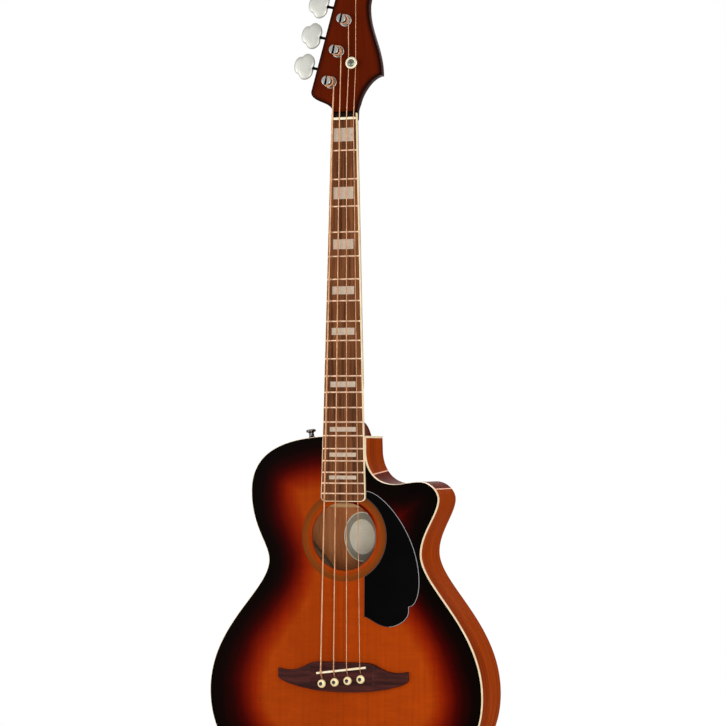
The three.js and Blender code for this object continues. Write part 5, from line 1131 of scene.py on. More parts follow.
def make_pins():
    """Four pins turned from a profile: domed head with a dot let in, collar and tapered shank."""
    dome = [(6 * math.sin(t), -9.4 - 4.5 * math.cos(t) ** 0.9) for t in np.linspace(0.47, 1.5, 9)]
    dot = [(0, -13.45), (2.75, -13.5), (2.8, -13.53), (2.85, -13.6)]
    head = dot + dome + [(6, -9.35), (5.6, -9.05), (3.6, -9.0), (3.1, 11), (0, 12)]
    marks = np.array([1.0] * 3 + [0.0] * (len(head) - 3))[:, None]
    for i, name in enumerate(STRINGS):
        skin = Skin()
        lathe(skin, head, *pin_place(i), 32, mark=marks)
        skin.make(f"dotted_pin_{name}", "guitar", finish(pin_bone), [f"bridge_pin_{name}"])


# Neck and headstock


def eased(x, xs, ys):
    """A smooth curve through given points without overshoot: cubic pieces on harmonic mean slopes."""
    x, xs, ys = (np.asarray(v, float) for v in (x, xs, ys))
    step = np.diff(xs)
    slope = np.diff(ys) / step
    product = slope[:-1] * slope[1:]
    inner = np.where(product > 0, 2 * product / (slope[:-1] + slope[1:] + 1e-12), 0)
    tangent = np.concatenate([slope[:1], inner, slope[-1:]])
    k = np.clip(np.searchsorted(xs, x, "right") - 1, 0, len(step) - 1)
    t = (x - xs[k]) / step[k]
    h = step[k]
    return ((2 * t ** 3 - 3 * t ** 2 + 1) * ys[k] + (t ** 3 - 2 * t ** 2 + t) * h * tangent[k]
            + (3 * t ** 2 - 2 * t ** 3) * ys[k + 1] + (t ** 3 - t ** 2) * h * tangent[k + 1])


HEEL_ALONG = (0, 0.28, 0.42, 0.54, 0.62, 0.69, 0.76, 0.84, 0.92, 1)
HEEL_DEPTH = (0, 0.09, 0.22, 0.45, 0.7, 0.9, 0.98, 1, 1, 1)
HEEL_CAP = (0.1, 0.1, 0.1, 0.1, 0.12, 0.2, 0.48, 0.7, 0.87, 1)
HEEL_BLEND = (0, 0.25, 0.55, 0.8, 0.95, 1, 1, 1, 1, 1)


def head_face(z):
    """The headstock's front: level with the neck's up to the step by the nut, then the step's curve."""
    return np.interp(z, HEAD_STEP_Z, HEAD_STEP_Y)


def neck_shell(skin):
    """Half-round sections down the neck; at the heel they draw in below the board to a flat cap."""
    heel_start = JOIN_Z + 71
    depth_at_nut, depth_at_heel, heel_depth, cap_half, top_half = 13.6, 15.6, 76, 14.3, 14.2
    z = np.concatenate([np.linspace(HEAD_BLEND_END, 0, 13), np.linspace(0, heel_start, 26)[1:],
                        np.linspace(heel_start, JOIN_Z + SEAM, 64)[1:]])
    share = np.clip((z - heel_start) / (JOIN_Z - heel_start), 0, 1)
    up = np.clip(z / HEAD_BLEND_END, 0, 1)
    shaft = depth_at_nut + (depth_at_heel - depth_at_nut) * np.clip(z / heel_start, 0, 1)
    shaft = shaft + (HEAD_BACK - shaft) * eased(up, (0, 0.5, 1), (0, 0.4, 1))
    depth = shaft + (heel_depth - depth_at_heel) * eased(share, HEEL_ALONG, HEEL_DEPTH)
    blend = eased(share, HEEL_ALONG, HEEL_BLEND)
    cap = cap_half * eased(share, HEEL_ALONG, HEEL_CAP) * (share > 0)
    half = np.where(z > 0, BOARD_NUT_HALF + (top_half - BOARD_NUT_HALF) * up, board_half(np.minimum(z, 0)))
    past_step = z > HEAD_STEP_Z[0]
    face = np.where(past_step, head_face(z), 0)
    u = np.linspace(0, 1, 65)
    edge = np.minimum(u, 1 - u) * 16
    hand = np.where(u < 0.5, 1, -1)
    down = np.minimum(edge / 6, 1)
    across = np.where(edge > 6, (8 - edge) / 2, 1)
    half, depth, cap, blend, face = (v[:, None] for v in (half, depth, cap, blend, face))
    flare = (half - cap) * (1 - down) ** 2.1
    round_x, round_y = half * np.cos(np.pi * u), depth * np.sin(np.pi * u)
    x = round_x + (hand * (cap * across + flare) - round_x) * blend
    y = round_y + (depth * down - round_y) * blend
    y = np.maximum(y, face + np.where(past_step, 0.5, 0.001)[:, None])
    points = np.stack([x, y, np.broadcast_to(z[:, None], x.shape)], -1)
    skin.solid(points, mark=0)


def head_sides():
    """The headstock's two edges from nut to tip, as points of distance from the middle and height."""
    n = 26
    tip, horn, waist, crown = (13, 221), (52.6, 62.5), (33, 160), (37.5, 195)
    ear, slope_end = (-53.4, 43.5), (-12.2, 192)
    right = np.concatenate([
        [(BOARD_NUT_HALF, 0)], bend((17.2, 14), horn, True, False, (0.45, 0.42), n),
        bend(horn, waist, True, True, (0.4, 0.35), n), bend(waist, crown, True, True, (0.35, 0.5), n),
        bend(crown, tip, True, False, (0.6, 0.6), n), [tip],
    ])
    left = np.concatenate([
        [(-BOARD_NUT_HALF, 0)], bend((-21, 14), ear, True, True, (0.5, 0.55), n),
        np.linspace(ear, slope_end, n, endpoint=False),
        bend(slope_end, tip, True, False, (0.55, 0.75), n), [tip],
    ])
    return left, right


def make_neck():
    """The shaft and heel, and the headstock as rounded sections between its two edges at each height."""
    shaft = Skin()
    neck_shell(shaft)
    shaft.make("neck_and_heel", "guitar", finish(mahogany_neck), ["neck"], crease=45)
    left, right = head_sides()
    step_rows = [9.7, 11, 13.2, 14.0, 16, 18.7, 22, HEAD_BLEND_END]
    z = np.unique(np.round(np.concatenate([left[:, 1], right[:, 1], step_rows]), 3))
    low = np.interp(z, left[:, 1], left[:, 0])
    high = np.maximum(np.interp(z, right[:, 1], right[:, 0]), low + 0.02)
    front = head_face(z)
    back = np.interp(z, [0, HEAD_BLEND_END], [HEAD_FACE + 2.5, HEAD_BACK])
    radius = np.minimum(1.3, (high - low) / 4)
    turn = np.linspace(0, np.pi / 2, 5)
    share = np.linspace(0, 1, 23)
    flat_low, flat_high = low + radius, high - radius

    def flat(start, end, y):
        """A level stretch from one edge to the other."""
        across = start[:, None] + (end - start)[:, None] * share
        return np.stack([across, np.repeat(y[:, None], len(share), 1)], -1)

    def corner(x, y, out, down, angles):
        """A quarter circle outwards from the end of a level stretch."""
        return np.stack([x[:, None] + out * radius[:, None] * np.sin(angles),
                         y[:, None] + down * radius[:, None] * (1 - np.cos(angles))], -1)

    section = np.concatenate([
        flat(flat_low, flat_high, front),
        corner(flat_high, front, 1, 1, turn), corner(flat_high, back, 1, -1, turn[::-1]),
        flat(flat_high, flat_low, back),
        corner(flat_low, back, -1, -1, turn), corner(flat_low, front, -1, 1, turn[::-1]),
    ], 1)
    x, y = section[..., 0], section[..., 1]
    heights = np.broadcast_to(z[:, None], x.shape)
    outline = np.concatenate([left, right[::-1]])
    fine = np.stack([np.interp(np.linspace(0, len(outline) - 1, 500), np.arange(len(outline)), outline[:, k])
                     for k in (0, 1)], 1)
    away = np.linalg.norm(np.stack([x, heights], -1)[:, :, None] - fine[None, None], axis=3).min(2)
    side_tone, black_edge, fade, step_shade_end, step_shade_fade = 0.3, 0.6, 6, 13.2, 0.8
    depth = (away - black_edge) / fade
    tone = np.where(y < front[:, None] + 1, 0.0, side_tone)
    # Painted shade: the step by the nut stays black, and the stain fades in just above it.
    clear_of_step_shade = np.clip((heights - step_shade_end) / step_shade_fade, 0, 1)
    burst = np.maximum(np.clip(depth, 0, 1), tone) * clear_of_step_shade
    burst = np.where(y > back[:, None] - 1, np.clip(depth, side_tone, 1), burst)
    skin = Skin()
    skin.solid(np.stack([x, y, heights], -1), mark=burst)
    skin.make("headstock", "guitar", finish(headstock_face), crease=45)


def make_fretboard():
    """Crowned sections down the neck, with rounded lower corners, inside the cream edging."""
    inset = BOARD_EDGING + SEAM
    corner = BOARD_CORNER - inset
    end = BOARD_END_Z + inset
    turn = np.linspace(0, np.pi / 2, 9)
    by_nut = [BOARD_BEYOND_NUT, NUT_SHOWN + 0.1, NUT_SHOWN - 0.1]
    down = np.linspace(0, end + corner + 1, 60)
    z = np.concatenate([by_nut, down, end + corner * (1 - np.sin(turn))])
    drop = np.concatenate([np.zeros(len(by_nut) + len(down)), corner * (1 - np.cos(turn))])
    half = board_half(z) - inset - drop
    x = half[:, None] * np.linspace(-1, 1, 21)[None]
    y = board_face(x)
    low = np.full((len(z), 1), -SEAM)
    x = np.concatenate([x, half[:, None], -half[:, None]], 1)
    y = np.concatenate([y, low, low], 1)
    # Painted shade: the board past the nut is marked, for its finish to paint it near black.
    past_nut_shade = np.where(z > NUT_SHOWN, 1.0, 0.0)[:, None]
    skin = Skin()
    skin.solid(np.stack([x, y, np.broadcast_to(z[:, None], x.shape)], -1), mark=past_nut_shade)
    skin.make("crowned_fretboard", "guitar", finish(rosewood_board), ["fretboard"])


def make_board_edging():
    """A cream strip carried down one side of the board, round its end and up the other.

    Its section is a row of insets and lifts; the first and last stand on the neck, where no lift is given.
    """
    turn = np.linspace(0, np.pi / 2, 12)
    side = np.array([BOARD_BEYOND_NUT, 0.0, -100.0, -200.0, -300.0, -400.0, -500.0])
    hub_x = float(board_half(BOARD_END_Z)) - BOARD_CORNER
    hub_z = BOARD_END_Z + BOARD_CORNER
    line = np.stack([board_half(side), side], 1)
    arc = np.stack([hub_x + BOARD_CORNER * np.cos(turn), hub_z - BOARD_CORNER * np.sin(turn)], 1)
    arc_inward = np.stack([-np.cos(turn), np.sin(turn)], 1)
    normal = np.concatenate([np.tile([-1.0, 0.0], (len(side), 1)), arc_inward])
    right = np.concatenate([line, arc])
    middle = np.array([[0.5 * hub_x, BOARD_END_Z], [0, BOARD_END_Z], [-0.5 * hub_x, BOARD_END_Z]])
    mirror = [-1, 1]
    place = np.concatenate([right, middle, right[::-1] * mirror])
    inward = np.concatenate([normal, np.tile([0.0, 1.0], (len(middle), 1)), normal[::-1] * mirror])
    insets = np.array([0, 0, 0.12, 0.4, BOARD_EDGING, BOARD_EDGING])
    lifts = np.array([np.nan, 0.4, 0.12, 0, 0, np.nan])
    at = place[:, None] + inward[:, None] * insets[None, :, None]
    y = board_face(at[..., 0]) + np.nan_to_num(lifts)[None]
    y = np.where(np.isnan(lifts)[None], -SEAM, y)
    skin = Skin()
    skin.solid(np.stack([at[..., 0], y, at[..., 1]], -1))
    skin.make("cream_board_edging", "guitar", finish(cream_edging), ["fretboard_binding"])


def make_frets():
    """Twenty wires: a half-round crown carried over the board's crown, rounded down at both ends."""
    rise, half_width, sunk, end_gap = settings().fret_height / MM, 1.3, 0.05, 0.1
    turn = np.linspace(0, np.pi, 13)
    share = np.array([-1, -0.985, -0.96, *np.linspace(-0.9, 0.9, 15), 0.96, 0.985, 1])
    scale = np.interp(1 - np.abs(share), [0, 0.015, 0.04], [0.25, 0.8, 1])
    skin = Skin()
    for z in fret_z(np.arange(1, FRETS + 1)):
        x = share * (float(board_half(z)) - BOARD_EDGING - end_gap)
        height = rise * scale[:, None] * np.sin(turn)[None] ** 0.7
        y = board_face(x)[:, None] - height + sunk
        across = z + half_width * np.cos(turn)[None] * (0.6 + 0.4 * scale[:, None])
        points = np.stack(np.broadcast_arrays(x[:, None], y, across), -1)
        skin.solid(points)
    skin.make("fret_wires", "guitar", finish(fret_wire), crease=60)


def make_inlays():
    """Nine thin blocks let into the board, following its crown."""
    skin = Skin()
    proud, sunk, count = -0.04, 0.6, 17
    for high, low, half in INLAY_SPANS:
        x = np.linspace(-half, half, count)
        x = np.concatenate([x, x[::-1]])
        y = board_face(x) + np.repeat([proud, sunk], count)
        z = np.array([high, low])
        points = np.stack(np.broadcast_arrays(x[None], y[None], z[:, None]), -1)
        skin.solid(points)
    skin.make("pearl_blocks", "guitar", finish(pearl))


def nut_x(i):
    """Where a string crosses the nut."""
    return (i - 1.5) * NUT_SPACING


def make_nut():
    """A bone block rounded at its two ends, with a groove under each string.

    Each long face leans in from its foot, and out again up to the top's edge.
    """
    half = BOARD_NUT_HALF - BOARD_EDGING - SEAM
    end_radius, lean, foot, groove_edge = 1.2, 0.9, -2.1, 0.05
    grooves = [(nut_x(i), diameter / 2) for i, diameter in enumerate(DIAMETERS)]
    stations = [np.linspace(-half + end_radius, half - end_radius, 20)]
    stations += [np.linspace(x - r - 0.06, x + r + 0.06, 9) for x, r in grooves]
    ends = [-half, -half + 0.3, -half + 0.7, half - 0.7, half - 0.3, half]
    x = np.unique(np.concatenate(stations + [ends]))
    top = NUT_TOP + end_radius * rounding((half - np.abs(x)) / end_radius)
    for centre, r in grooves:
        groove = NUT_GROOVE - r + np.sqrt(np.maximum(r * r - (x - centre) ** 2, 0))
        top = np.where(np.abs(x - centre) <= r + groove_edge, groove, top)
    turn = np.linspace(0, np.pi / 2, 5)
    inset, drop = lean * (1 - np.sin(turn)), lean * (1 - np.cos(turn))
    z = np.concatenate([[0.0], inset, NUT_SHOWN - inset[::-1], [NUT_SHOWN]])
    feet = np.full((len(x), 1), foot)
    y = np.concatenate([feet, top[:, None] + np.concatenate([drop[::-1], drop]), feet], 1)
    points = np.stack(np.broadcast_arrays(x[:, None], y, z[None]), -1)
    skin = Skin()
    skin.solid(points)
    skin.make("slotted_nut", "guitar", finish(bone), ["nut"], crease=45)


# Strings and tuners


def post_place(i):
    """Where a string post stands, on a line turned from the neck's own."""
    step = POST_SPACING * i
    return FIRST_POST_X + step * math.sin(POST_TURN), FIRST_POST_Z + step * math.cos(POST_TURN)


def at_post(i):
    """The turn and the place that carry a tuner's own axes onto the headstock."""
    x, z = post_place(i)
    c, s = math.cos(POST_TURN), math.sin(POST_TURN)
    return np.array([[c, 0, s], [0, 1, 0], [-s, 0, c]]), np.array([x, 0, z])


def string_run(i):
    """The taut run from the ball under the bridge, over saddle and nut, to the post's side.

    The two thin strings pass under the retainer's head.
    """
    radius = DIAMETERS[i] / 2
    pin_x, pin_z = pin_place(i)
    saddle_z = SADDLE_Z + pin_x * SADDLE_SLOPE
    post_x, post_z = post_place(i)
    post_gap, leave_y, retainer_foot = 0.3, -1.8, -1.5
    wrap = POST_RADIUS + post_gap + radius
    leave = np.array([post_x + wrap, leave_y, post_z])
    nut = np.array([nut_x(i), NUT_GROOVE - radius, NUT_THICK / 2])
    points = [
        (pin_x, 9.5, pin_z + 6.8), (pin_x, 0, pin_z + 3.9), (pin_x, -8.7 + radius, pin_z + 6.3),
        (pin_x, saddle_crest(pin_x) - radius, saddle_z), tuple(nut),
    ]
    if i >= 2:
        for z in (RETAINER_Z - RETAINER_RADIUS, RETAINER_Z + RETAINER_RADIUS):
            under = nut + (leave - nut) * (z - nut[2]) / (leave[2] - nut[2])
            under[1] = retainer_foot + radius
            points.append(tuple(under))
    return points, leave, wrap


def make_strings():
    """Each string: a round wire along its run, then turns about the post that end in a level ring."""
    ring_turns, turn_gap, bend_radius, ball_radius, ball_length = 1.0, 1.1, 2.2, 2.9, 4.5
    for i, name in enumerate(STRINGS):
        radius = DIAMETERS[i] / 2
        points, leave, wrap = string_run(i)
        post_x, post_z = post_place(i)
        run = rounded_profile(points + [tuple(leave)], bend_radius, 5)[:-1]
        lengths = np.linalg.norm(np.diff(run, axis=0), axis=1)
        keep = np.concatenate([[True], lengths > 1e-6])
        run = run[keep]
        pitch = DIAMETERS[i] + turn_gap
        turn = np.linspace(0, 2 * np.pi * (TURNS[i] + ring_turns), int(40 * (TURNS[i] + ring_turns)))
        climb = np.minimum(turn, 2 * np.pi * TURNS[i]) * pitch / (2 * np.pi)
        coil = np.stack([post_x + wrap * np.cos(turn), leave[1] - climb, post_z + wrap * np.sin(turn)], 1)
        path = np.concatenate([run, coil])
        rings, flow = tube_rings(path, radius, 14)
        skin = Skin()
        skin.solid(rings, flow=flow)
        ball = lathe_axis_x(points[0], ball_radius, ball_length)
        skin.solid(ball)
        skin.make(f"wound_string_{name}", "guitar", finish(wound_bronze), [f"string_{name}"])
        make_string_tail(i, name, radius, leave[1] - climb[-1], wrap)


def lathe_axis_x(centre, radius, length):
    """Rings of a small barrel lying along X."""
    turn = circle(20)
    x = np.array([-0.5, -0.42, 0.42, 0.5]) * length
    r = np.array([0.85, 1, 1, 0.85]) * radius
    y, z = centre[1] + r[:, None] * np.cos(turn), centre[2] + r[:, None] * np.sin(turn)
    return np.stack(np.broadcast_arrays(centre[0] + x[:, None], y, z), -1)


def make_string_tail(i, name, radius, low, wrap):
    """The wire's end: it rises off the ring on the post's side and lies through the slot into its hole."""
    start, end_reach, swell = -1.25, 6.0, 0.9
    sweep = np.linspace(start, 0, 14)
    facing = np.pi / 2 - POST_TURN
    floor = SLOT_FLOOR - radius
    rise = (sweep - start) / -start
    rise = 3 * rise ** 2 - 2 * rise ** 3
    reach = wrap + (end_reach - wrap) * np.clip(rise, 0, 1) + swell * np.sin(np.pi * rise)
    y = low + (floor - low) * rise
    x0, z0 = post_place(i)
    angle = facing + sweep
    around = np.stack([x0 + reach * np.cos(angle), y, z0 + reach * np.sin(angle)], 1)
    into_hole = ((3.5, 0), (1.4, 0.1), (0.2, 1.2), (0.0, 3.5))
    inward = np.array([[x0 + r * math.cos(facing), floor + d, z0 + r * math.sin(facing)]
                       for r, d in into_hole])
    path = rounded_profile(np.concatenate([around, inward]), 1.0, 3)
    keep = np.concatenate([[True], np.linalg.norm(np.diff(path, axis=0), axis=1) > 1e-6])
    rings, flow = tube_rings(path[keep], radius, 12, across=(0.31, 0.12, 0.94))
    skin = Skin()
    skin.solid(rings, flow=flow)
    skin.make(f"string_tail_{name}", f"post_{name}", finish(wound_bronze))


def make_posts():
    """Posts turned from a waisted profile, with a slot between two D-shaped jaws, and their bushings.

    Each jaw is a stack of arcs, cut off where the slot's half width meets their radius.
    """
    slot_half, screw_y, screw_radius = 1.5, 29.3, 3.3
    profile = rounded_profile([
        (0.0, SLOT_FLOOR), (6.0, SLOT_FLOOR), (POST_RADIUS, SLOT_FLOOR + 1.6), (POST_RADIUS, 0.2),
        (6.7, 0.95), (6.7, 1.7), (4.8, 1.75), (4.8, 19.4), (3.1, 19.4), (3.1, 27.75), (4.4, 27.75),
        (4.4, 29.35), (0.0, 29.35),
    ], 0.35, 3)
    # Painted shade: the slot's floor is marked, and its finish paints it black.
    slot_shade_mark = (profile[:, 1:] < SLOT_FLOOR + 0.2).astype(float)
    heights = np.array([SLOT_FLOOR + 0.05, *(POST_TOP + np.array([3.8, 3.1, 0.7, 0.3, 0.08, 0]))])
    radii = np.array([6.02, 6.3, 6.8, 6.8, 6.65, 6.35, 6.1])
    share = np.concatenate([[-1, -0.97], np.linspace(-0.9, 0.9, 21), [0.97, 1]])
    turn = np.arccos(slot_half / radii)[:, None] * share
    bush_profile = rounded_profile([
        (POST_RADIUS, 12.3), (POST_RADIUS, 2.0), (8.4, 2.0), (9.0, 2.7), (9.0, HEAD_FACE - 0.05),
        (6.6, HEAD_FACE), (6.6, 12.3), (POST_RADIUS, 12.3),
    ], 0.3, 3)
    for i, name in enumerate(STRINGS):
        moved = at_post(i)
        skin = Skin()
        lathe(skin, profile, sides=48, mark=slot_shade_mark)
        screw_head(skin, 0, 0, screw_y, screw_radius)
        for side in (-1, 1):
            points = np.stack([side * radii[:, None] * np.cos(turn),
                               np.broadcast_to(heights[:, None], turn.shape),
                               radii[:, None] * np.sin(turn)], -1)
            hub = points[-1].mean(0)
            points = np.concatenate([points, (hub + (points[-1] - hub) * 0.94)[None]])
            mark = np.zeros(points.shape[:2])
            # Painted shade: each jaw's flat face at the slot is marked black.
            mark[:-1, [0, -1]] = 1
            skin.solid(points, mark=mark)
        skin.make(f"slotted_post_{name}", f"post_{name}", finish(bright_nickel), [f"string_post_{name}"],
                  moved=moved)
        bush = Skin()
        lathe(bush, bush_profile, sides=48)
        bush.make(f"flanged_bushing_{name}", "guitar", finish(bright_nickel), [f"post_bushing_{name}"],
                  moved=moved)


def screw_head(skin, x, z, y, radius, out=1):
    """A domed head with a cross recess: the dome's height less a dip where either arm of the cross runs."""
    rings = np.linspace(0, 1, 11) ** 0.8
    turn = circle(48)
    px = radius * rings[:, None] * np.cos(turn)
    pz = radius * rings[:, None] * np.sin(turn)
    dome = 0.42 * radius * np.sqrt(np.maximum(1 - 0.85 * rings[:, None] ** 2, 0)) + 0 * px
    arm = np.minimum(np.abs(px), np.abs(pz)) / (0.14 * radius)
    far = np.maximum(np.abs(px), np.abs(pz)) / (0.6 * radius)
    dip = np.clip(1.4 - arm, 0, 1) * np.clip((1.1 - far) * 5, 0, 1)
    height = dome - 0.3 * radius * dip
    foot = np.stack([px[-1:], np.zeros_like(px[-1:]), pz[-1:]], -1)
    points = np.concatenate([np.stack([px, height, pz], -1), foot])
    points = points * [1, out, 1] + [x, y, z]
    skin.grid(points, close_columns=True, caps=(False, True))


def make_tuner_plates():
    """Base plates with rounded corners and edges, two bearing ears and four cross-head screws each."""
    low_x, low_z, high_x, high_z, corner, to_screw = -14.5, -13.0, 12.5, 23.5, 5, 3.6
    turn = np.linspace(0, np.pi / 2, 7)
    hubs = [
        (low_x + corner, low_z + corner, np.pi), (high_x - corner, low_z + corner, 1.5 * np.pi),
        (high_x - corner, high_z - corner, 0.0), (low_x + corner, high_z - corner, np.pi / 2),
    ]
    outline = np.concatenate([np.stack([x + corner * np.cos(a + turn), z + corner * np.sin(a + turn)], 1)
                              for x, z, a in hubs])
    normal = mitred(outline)
    ear_radius, ear_foot, ear_starts, ear_width, bevel = 3.8, 19.0, (-9.08, 6.08), 3, 0.25
    arch = np.linspace(np.pi / 2, -np.pi / 2, 17)
    arch = np.stack([SHAFT_Y + ear_radius * np.cos(arch), SHAFT_Z + ear_radius * np.sin(arch)], 1)
    ear = np.concatenate([[(ear_foot, SHAFT_Z + ear_radius)], arch, [(ear_foot, SHAFT_Z - ear_radius)]])
    inward = mitred(ear)
    rows = [(0, 17.65), (0, 18.9), (0.15, 19.2), (0.5, 19.4)]
    plate = [np.insert(outline + normal * inset, 1, y, axis=1) for inset, y in rows]
    for i, name in enumerate(STRINGS):
        skin = Skin()
        skin.solid(plate)
        for x, z in ((low_x, low_z), (high_x, low_z), (high_x, high_z), (low_x, high_z)):
            screw_head(skin, x - math.copysign(to_screw, x), z - math.copysign(to_screw, z), 19.35, 2.3)
        for start in ear_starts:
            end = start + ear_width
            sides = [(bevel, start), (0, start + bevel), (0, end - bevel), (bevel, end)]
            skin.solid([np.insert(ear + inward * inset, 0, x, axis=1) for inset, x in sides])
        skin.make(f"base_plate_{name}", "guitar", finish(satin_key), [f"tuner_plate_{name}"],
                  moved=at_post(i))


def make_tuner_keys():
    """A key: worm with a trapezoid thread on its shaft, a collar, and a three-lobed pillow for the fingers.

    The thread's height falls off at the flank's angle on either side of its middle, and fades at its ends.
    The pillow's reach is less between its lobes, by the cosine of one and a half times the angle round it.
    """
    pitch, half_worm, root, tip, middle_radius = 3.77, 5.2, 2.5, 5.15, 4
    fade_end, fade_run, clearance, flank_angle = 4.9, 0.5, 0.1, math.radians(20)
    turn = circle(40)
    x = np.concatenate([
        [-43.6, -41.4, -41.0, -39.5, -37.6, -37.59, -14.0, -13.9, -10.6],
        np.linspace(-half_worm, half_worm, 96), [10.0, 10.25],
    ])
    base = np.interp(x, [-43.6, -41.4, -41, -38.6, -37.6, -37.59, 10.0, 10.25],
                     [1.9, 1.9, 2.4, 2.4, 2.2, 2.0, 2.5, 2.1])
    phase = x[:, None] / pitch - turn[None] / (2 * np.pi)
    off = np.abs(np.mod(phase + 0.5, 1) - 0.5) * pitch
    flank = middle_radius + (pitch / 4 - clearance - off) / math.tan(flank_angle)
    fade = np.clip((fade_end - np.abs(x[:, None])) / fade_run, 0, 1)
    thread = root + (np.clip(flank, root, tip) - root) * fade
    radius = np.where(np.abs(x[:, None]) < half_worm, thread, base[:, None])
    shaft = np.stack([x[:, None] + 0 * radius, SHAFT_Y + radius * np.sin(turn),
                      SHAFT_Z - radius * np.cos(turn)], -1)
    # Painted shade: the shaft beyond the collar is marked, and its finish paints it nearly black.
    shaft_shade = np.where(x < -13.95, 0.85, 0.0)[:, None]
    reach, length, half_thick, middle = 19.6, 0.83, 3.25, -53.1
    around = circle(72)
    level = np.linspace(-np.pi / 2, np.pi / 2, 25)
    lobe = np.sqrt(np.cos(1.5 * (around - np.pi)) ** 2 + 0.004)
    out = reach * (1 - 0.24 * np.maximum(1 - lobe, 0) ** 1.5)
    draw = np.abs(np.cos(level)) ** 0.55
    lift = half_thick * np.sign(np.sin(level)) * np.abs(np.sin(level)) ** 0.62
    blade = np.stack([
        middle + out[None] * length * np.cos(around)[None] * draw[:, None],
        SHAFT_Y + lift[:, None] + 0 * around[None],
        SHAFT_Z + out[None] * np.sin(around)[None] * draw[:, None],
    ], -1)
    for i, name in enumerate(STRINGS):
        skin = Skin()
        skin.solid(shaft, mark=shaft_shade)
        skin.grid(blade, close_columns=True)
        skin.make(f"lobed_key_{name}", f"key_{name}", finish(satin_key), [f"tuner_key_{name}"],
                  moved=at_post(i))


def make_retainer():
    """A round string retainer on its stem, with a cross-head screw let into its face."""
    skin = Skin()
    stem = 3
    lathe(skin, rounded_profile([
        (0, -3.5), (5.1, -3.5), (5.4, -4.0), (7.9, -4.0), (RETAINER_RADIUS, -3.2), (RETAINER_RADIUS, -1.8),
        (stem, -1.8), (stem, 3.4), (0, 3.4),
    ], 0.4, 3), RETAINER_X, RETAINER_Z, 64)
    skin.make("round_retainer", "guitar", finish(washer_metal), ["string_retainer"])
    screw = Skin()
    screw_head(screw, RETAINER_X, RETAINER_Z, -3.45, 5.0, -1)
    screw.make("retainer_screw", "guitar", finish(dark_screw))


def make_strap_buttons():
    """Two buttons turned from a waisted profile, each with a screw in its crown, set on the body's side."""
    tall = 14
    places = [
        ("shoulder", (-65.97, 42, -436.69), (-0.152682, 0, 0.988275)),
        ("tail", (0, 48, -965.32), (0, 0, -1)),
    ]
    for name, crown, facing in places:
        skin = Skin()
        lathe(skin, rounded_profile([
            (0, 0), (6.5, 0), (6.5, 1.1), (3.8, 4.2), (3.8, 9.4), (7.2, 10.6), (7.2, 12.9), (6.1, tall),
            (3.2, tall), (2.6, 13.2), (0, 13.2),
        ], 0.6, 4), sides=48)
        screw_head(skin, 0, 0, 13.0, 2.4)
        turn = Vector((0, 1, 0)).rotation_difference(Vector(facing)).to_matrix()
        matrix = np.array([list(row) for row in turn])
        base = np.array(crown, float) - np.array(facing) * tall
        skin.make(f"turned_strap_button_{name}", "guitar", finish(dark_nickel), [f"strap_button_{name}"],
                  moved=(matrix, base))


# Inside the body, and what keeps its own shape


def make_inner_woodwork():
    """Gives the blocks, linings, braces, rod and wheels their finishes; their shapes stay as they are."""
    makers = [
        # Painted shade: braces and linings take a dark brown.
        (inner_spruce, ("lining_", "x_brace", "tone_bar", "transverse")),
        (inner_mahogany, ("neck_block", "tail_block", "bridge_plate")),
        (plain_steel, ("truss_rod",)),
        (gear_brass, ("tuner_gear",)),
    ]
    for node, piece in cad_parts.items():
        for maker, starts in makers:
            if node.startswith(starts):
                for place in piece.material_slots:
                    place.material = finish(maker)


def make_label():
    """A bare oval sheet on the inside of the back: rings of an ellipse, its share of the edge in mark."""
    share = np.linspace(0, 1, 12)[:, None]
    turn = circle(64)
    x = LABEL_X + share * LABEL_HALF_WIDTH * np.cos(turn)
    z = LABEL_Z + share * LABEL_HALF_HEIGHT * np.sin(turn)
    off_back, thick = 0.15, 0.13
    y = back_foot(x, z) - off_back
    skin = Skin()
    skin.grid(np.stack([x, y, z], -1), close_columns=True, mark=share)
    under = np.stack([x, y + thick, z], -1)[[0, -1]]
    skin.grid(under, close_columns=True, mark=1.0)
    rim = np.stack([np.stack([x[-1], y[-1], z[-1]], -1), under[-1]])
    skin.grid(rim, close_columns=True, mark=1.0)
    skin.make("oval_paper_label", "guitar", finish(label_paper), weld=0.002)


# Stage


def pale_floor(name):
    """A plain pale matt floor with the faintest unevenness."""
    paint = Paint(name, 0.85)
    cloud = paint.noise(paint.place(), 3, 3)
    return paint.finish(paint.mix(paint.span(cloud, 0.3, 0.7), "e9e8e6", "efeeec"))


def make_stage(scene):
    """A floor disc, five soft lamps, a white world for the eye and for gloss, and the camera."""
    make_floor(scene)
    make_lamps(scene)
    make_world(scene)
    make_camera(scene)
    scene.view_settings.view_transform = "Standard"


def make_floor(scene):
    """A disc of points on two circles round a middle point, just under the instrument."""
    sides, below = 96, 0.001
    radius = scene.bass_stage.floor_radius
    turn = circle(sides)
    radius = np.array([[0.0], [radius * 0.5], [radius]])
    level = CAD_BOX[0][2] - below
    points = np.stack(np.broadcast_arrays(radius * np.cos(turn), radius * np.sin(turn), np.array(level)), -1)
    mesh = bpy.data.meshes.new("pale_floor")
    k = np.arange(sides)
    n = (k + 1) % sides
    faces = np.concatenate([
        np.stack([r * sides + k, (r + 1) * sides + k, (r + 1) * sides + n, r * sides + n], 1) for r in (0, 1)
    ])
    mesh.from_pydata(points.reshape(-1, 3).tolist(), [], faces.tolist())
    bm = bmesh.new()
    bm.from_mesh(mesh)
    bmesh.ops.remove_doubles(bm, verts=bm.verts, dist=1e-5)
    bmesh.ops.recalc_face_normals(bm, faces=bm.faces)
    if sum(face.normal.z for face in bm.faces) < 0:
        bmesh.ops.reverse_faces(bm, faces=bm.faces)
    bm.to_mesh(mesh)
    bm.free()
    mesh.materials.append(finish(pale_floor))
    floor = bpy.data.objects.new("pale_floor", mesh)
    scene.collection.objects.link(floor)


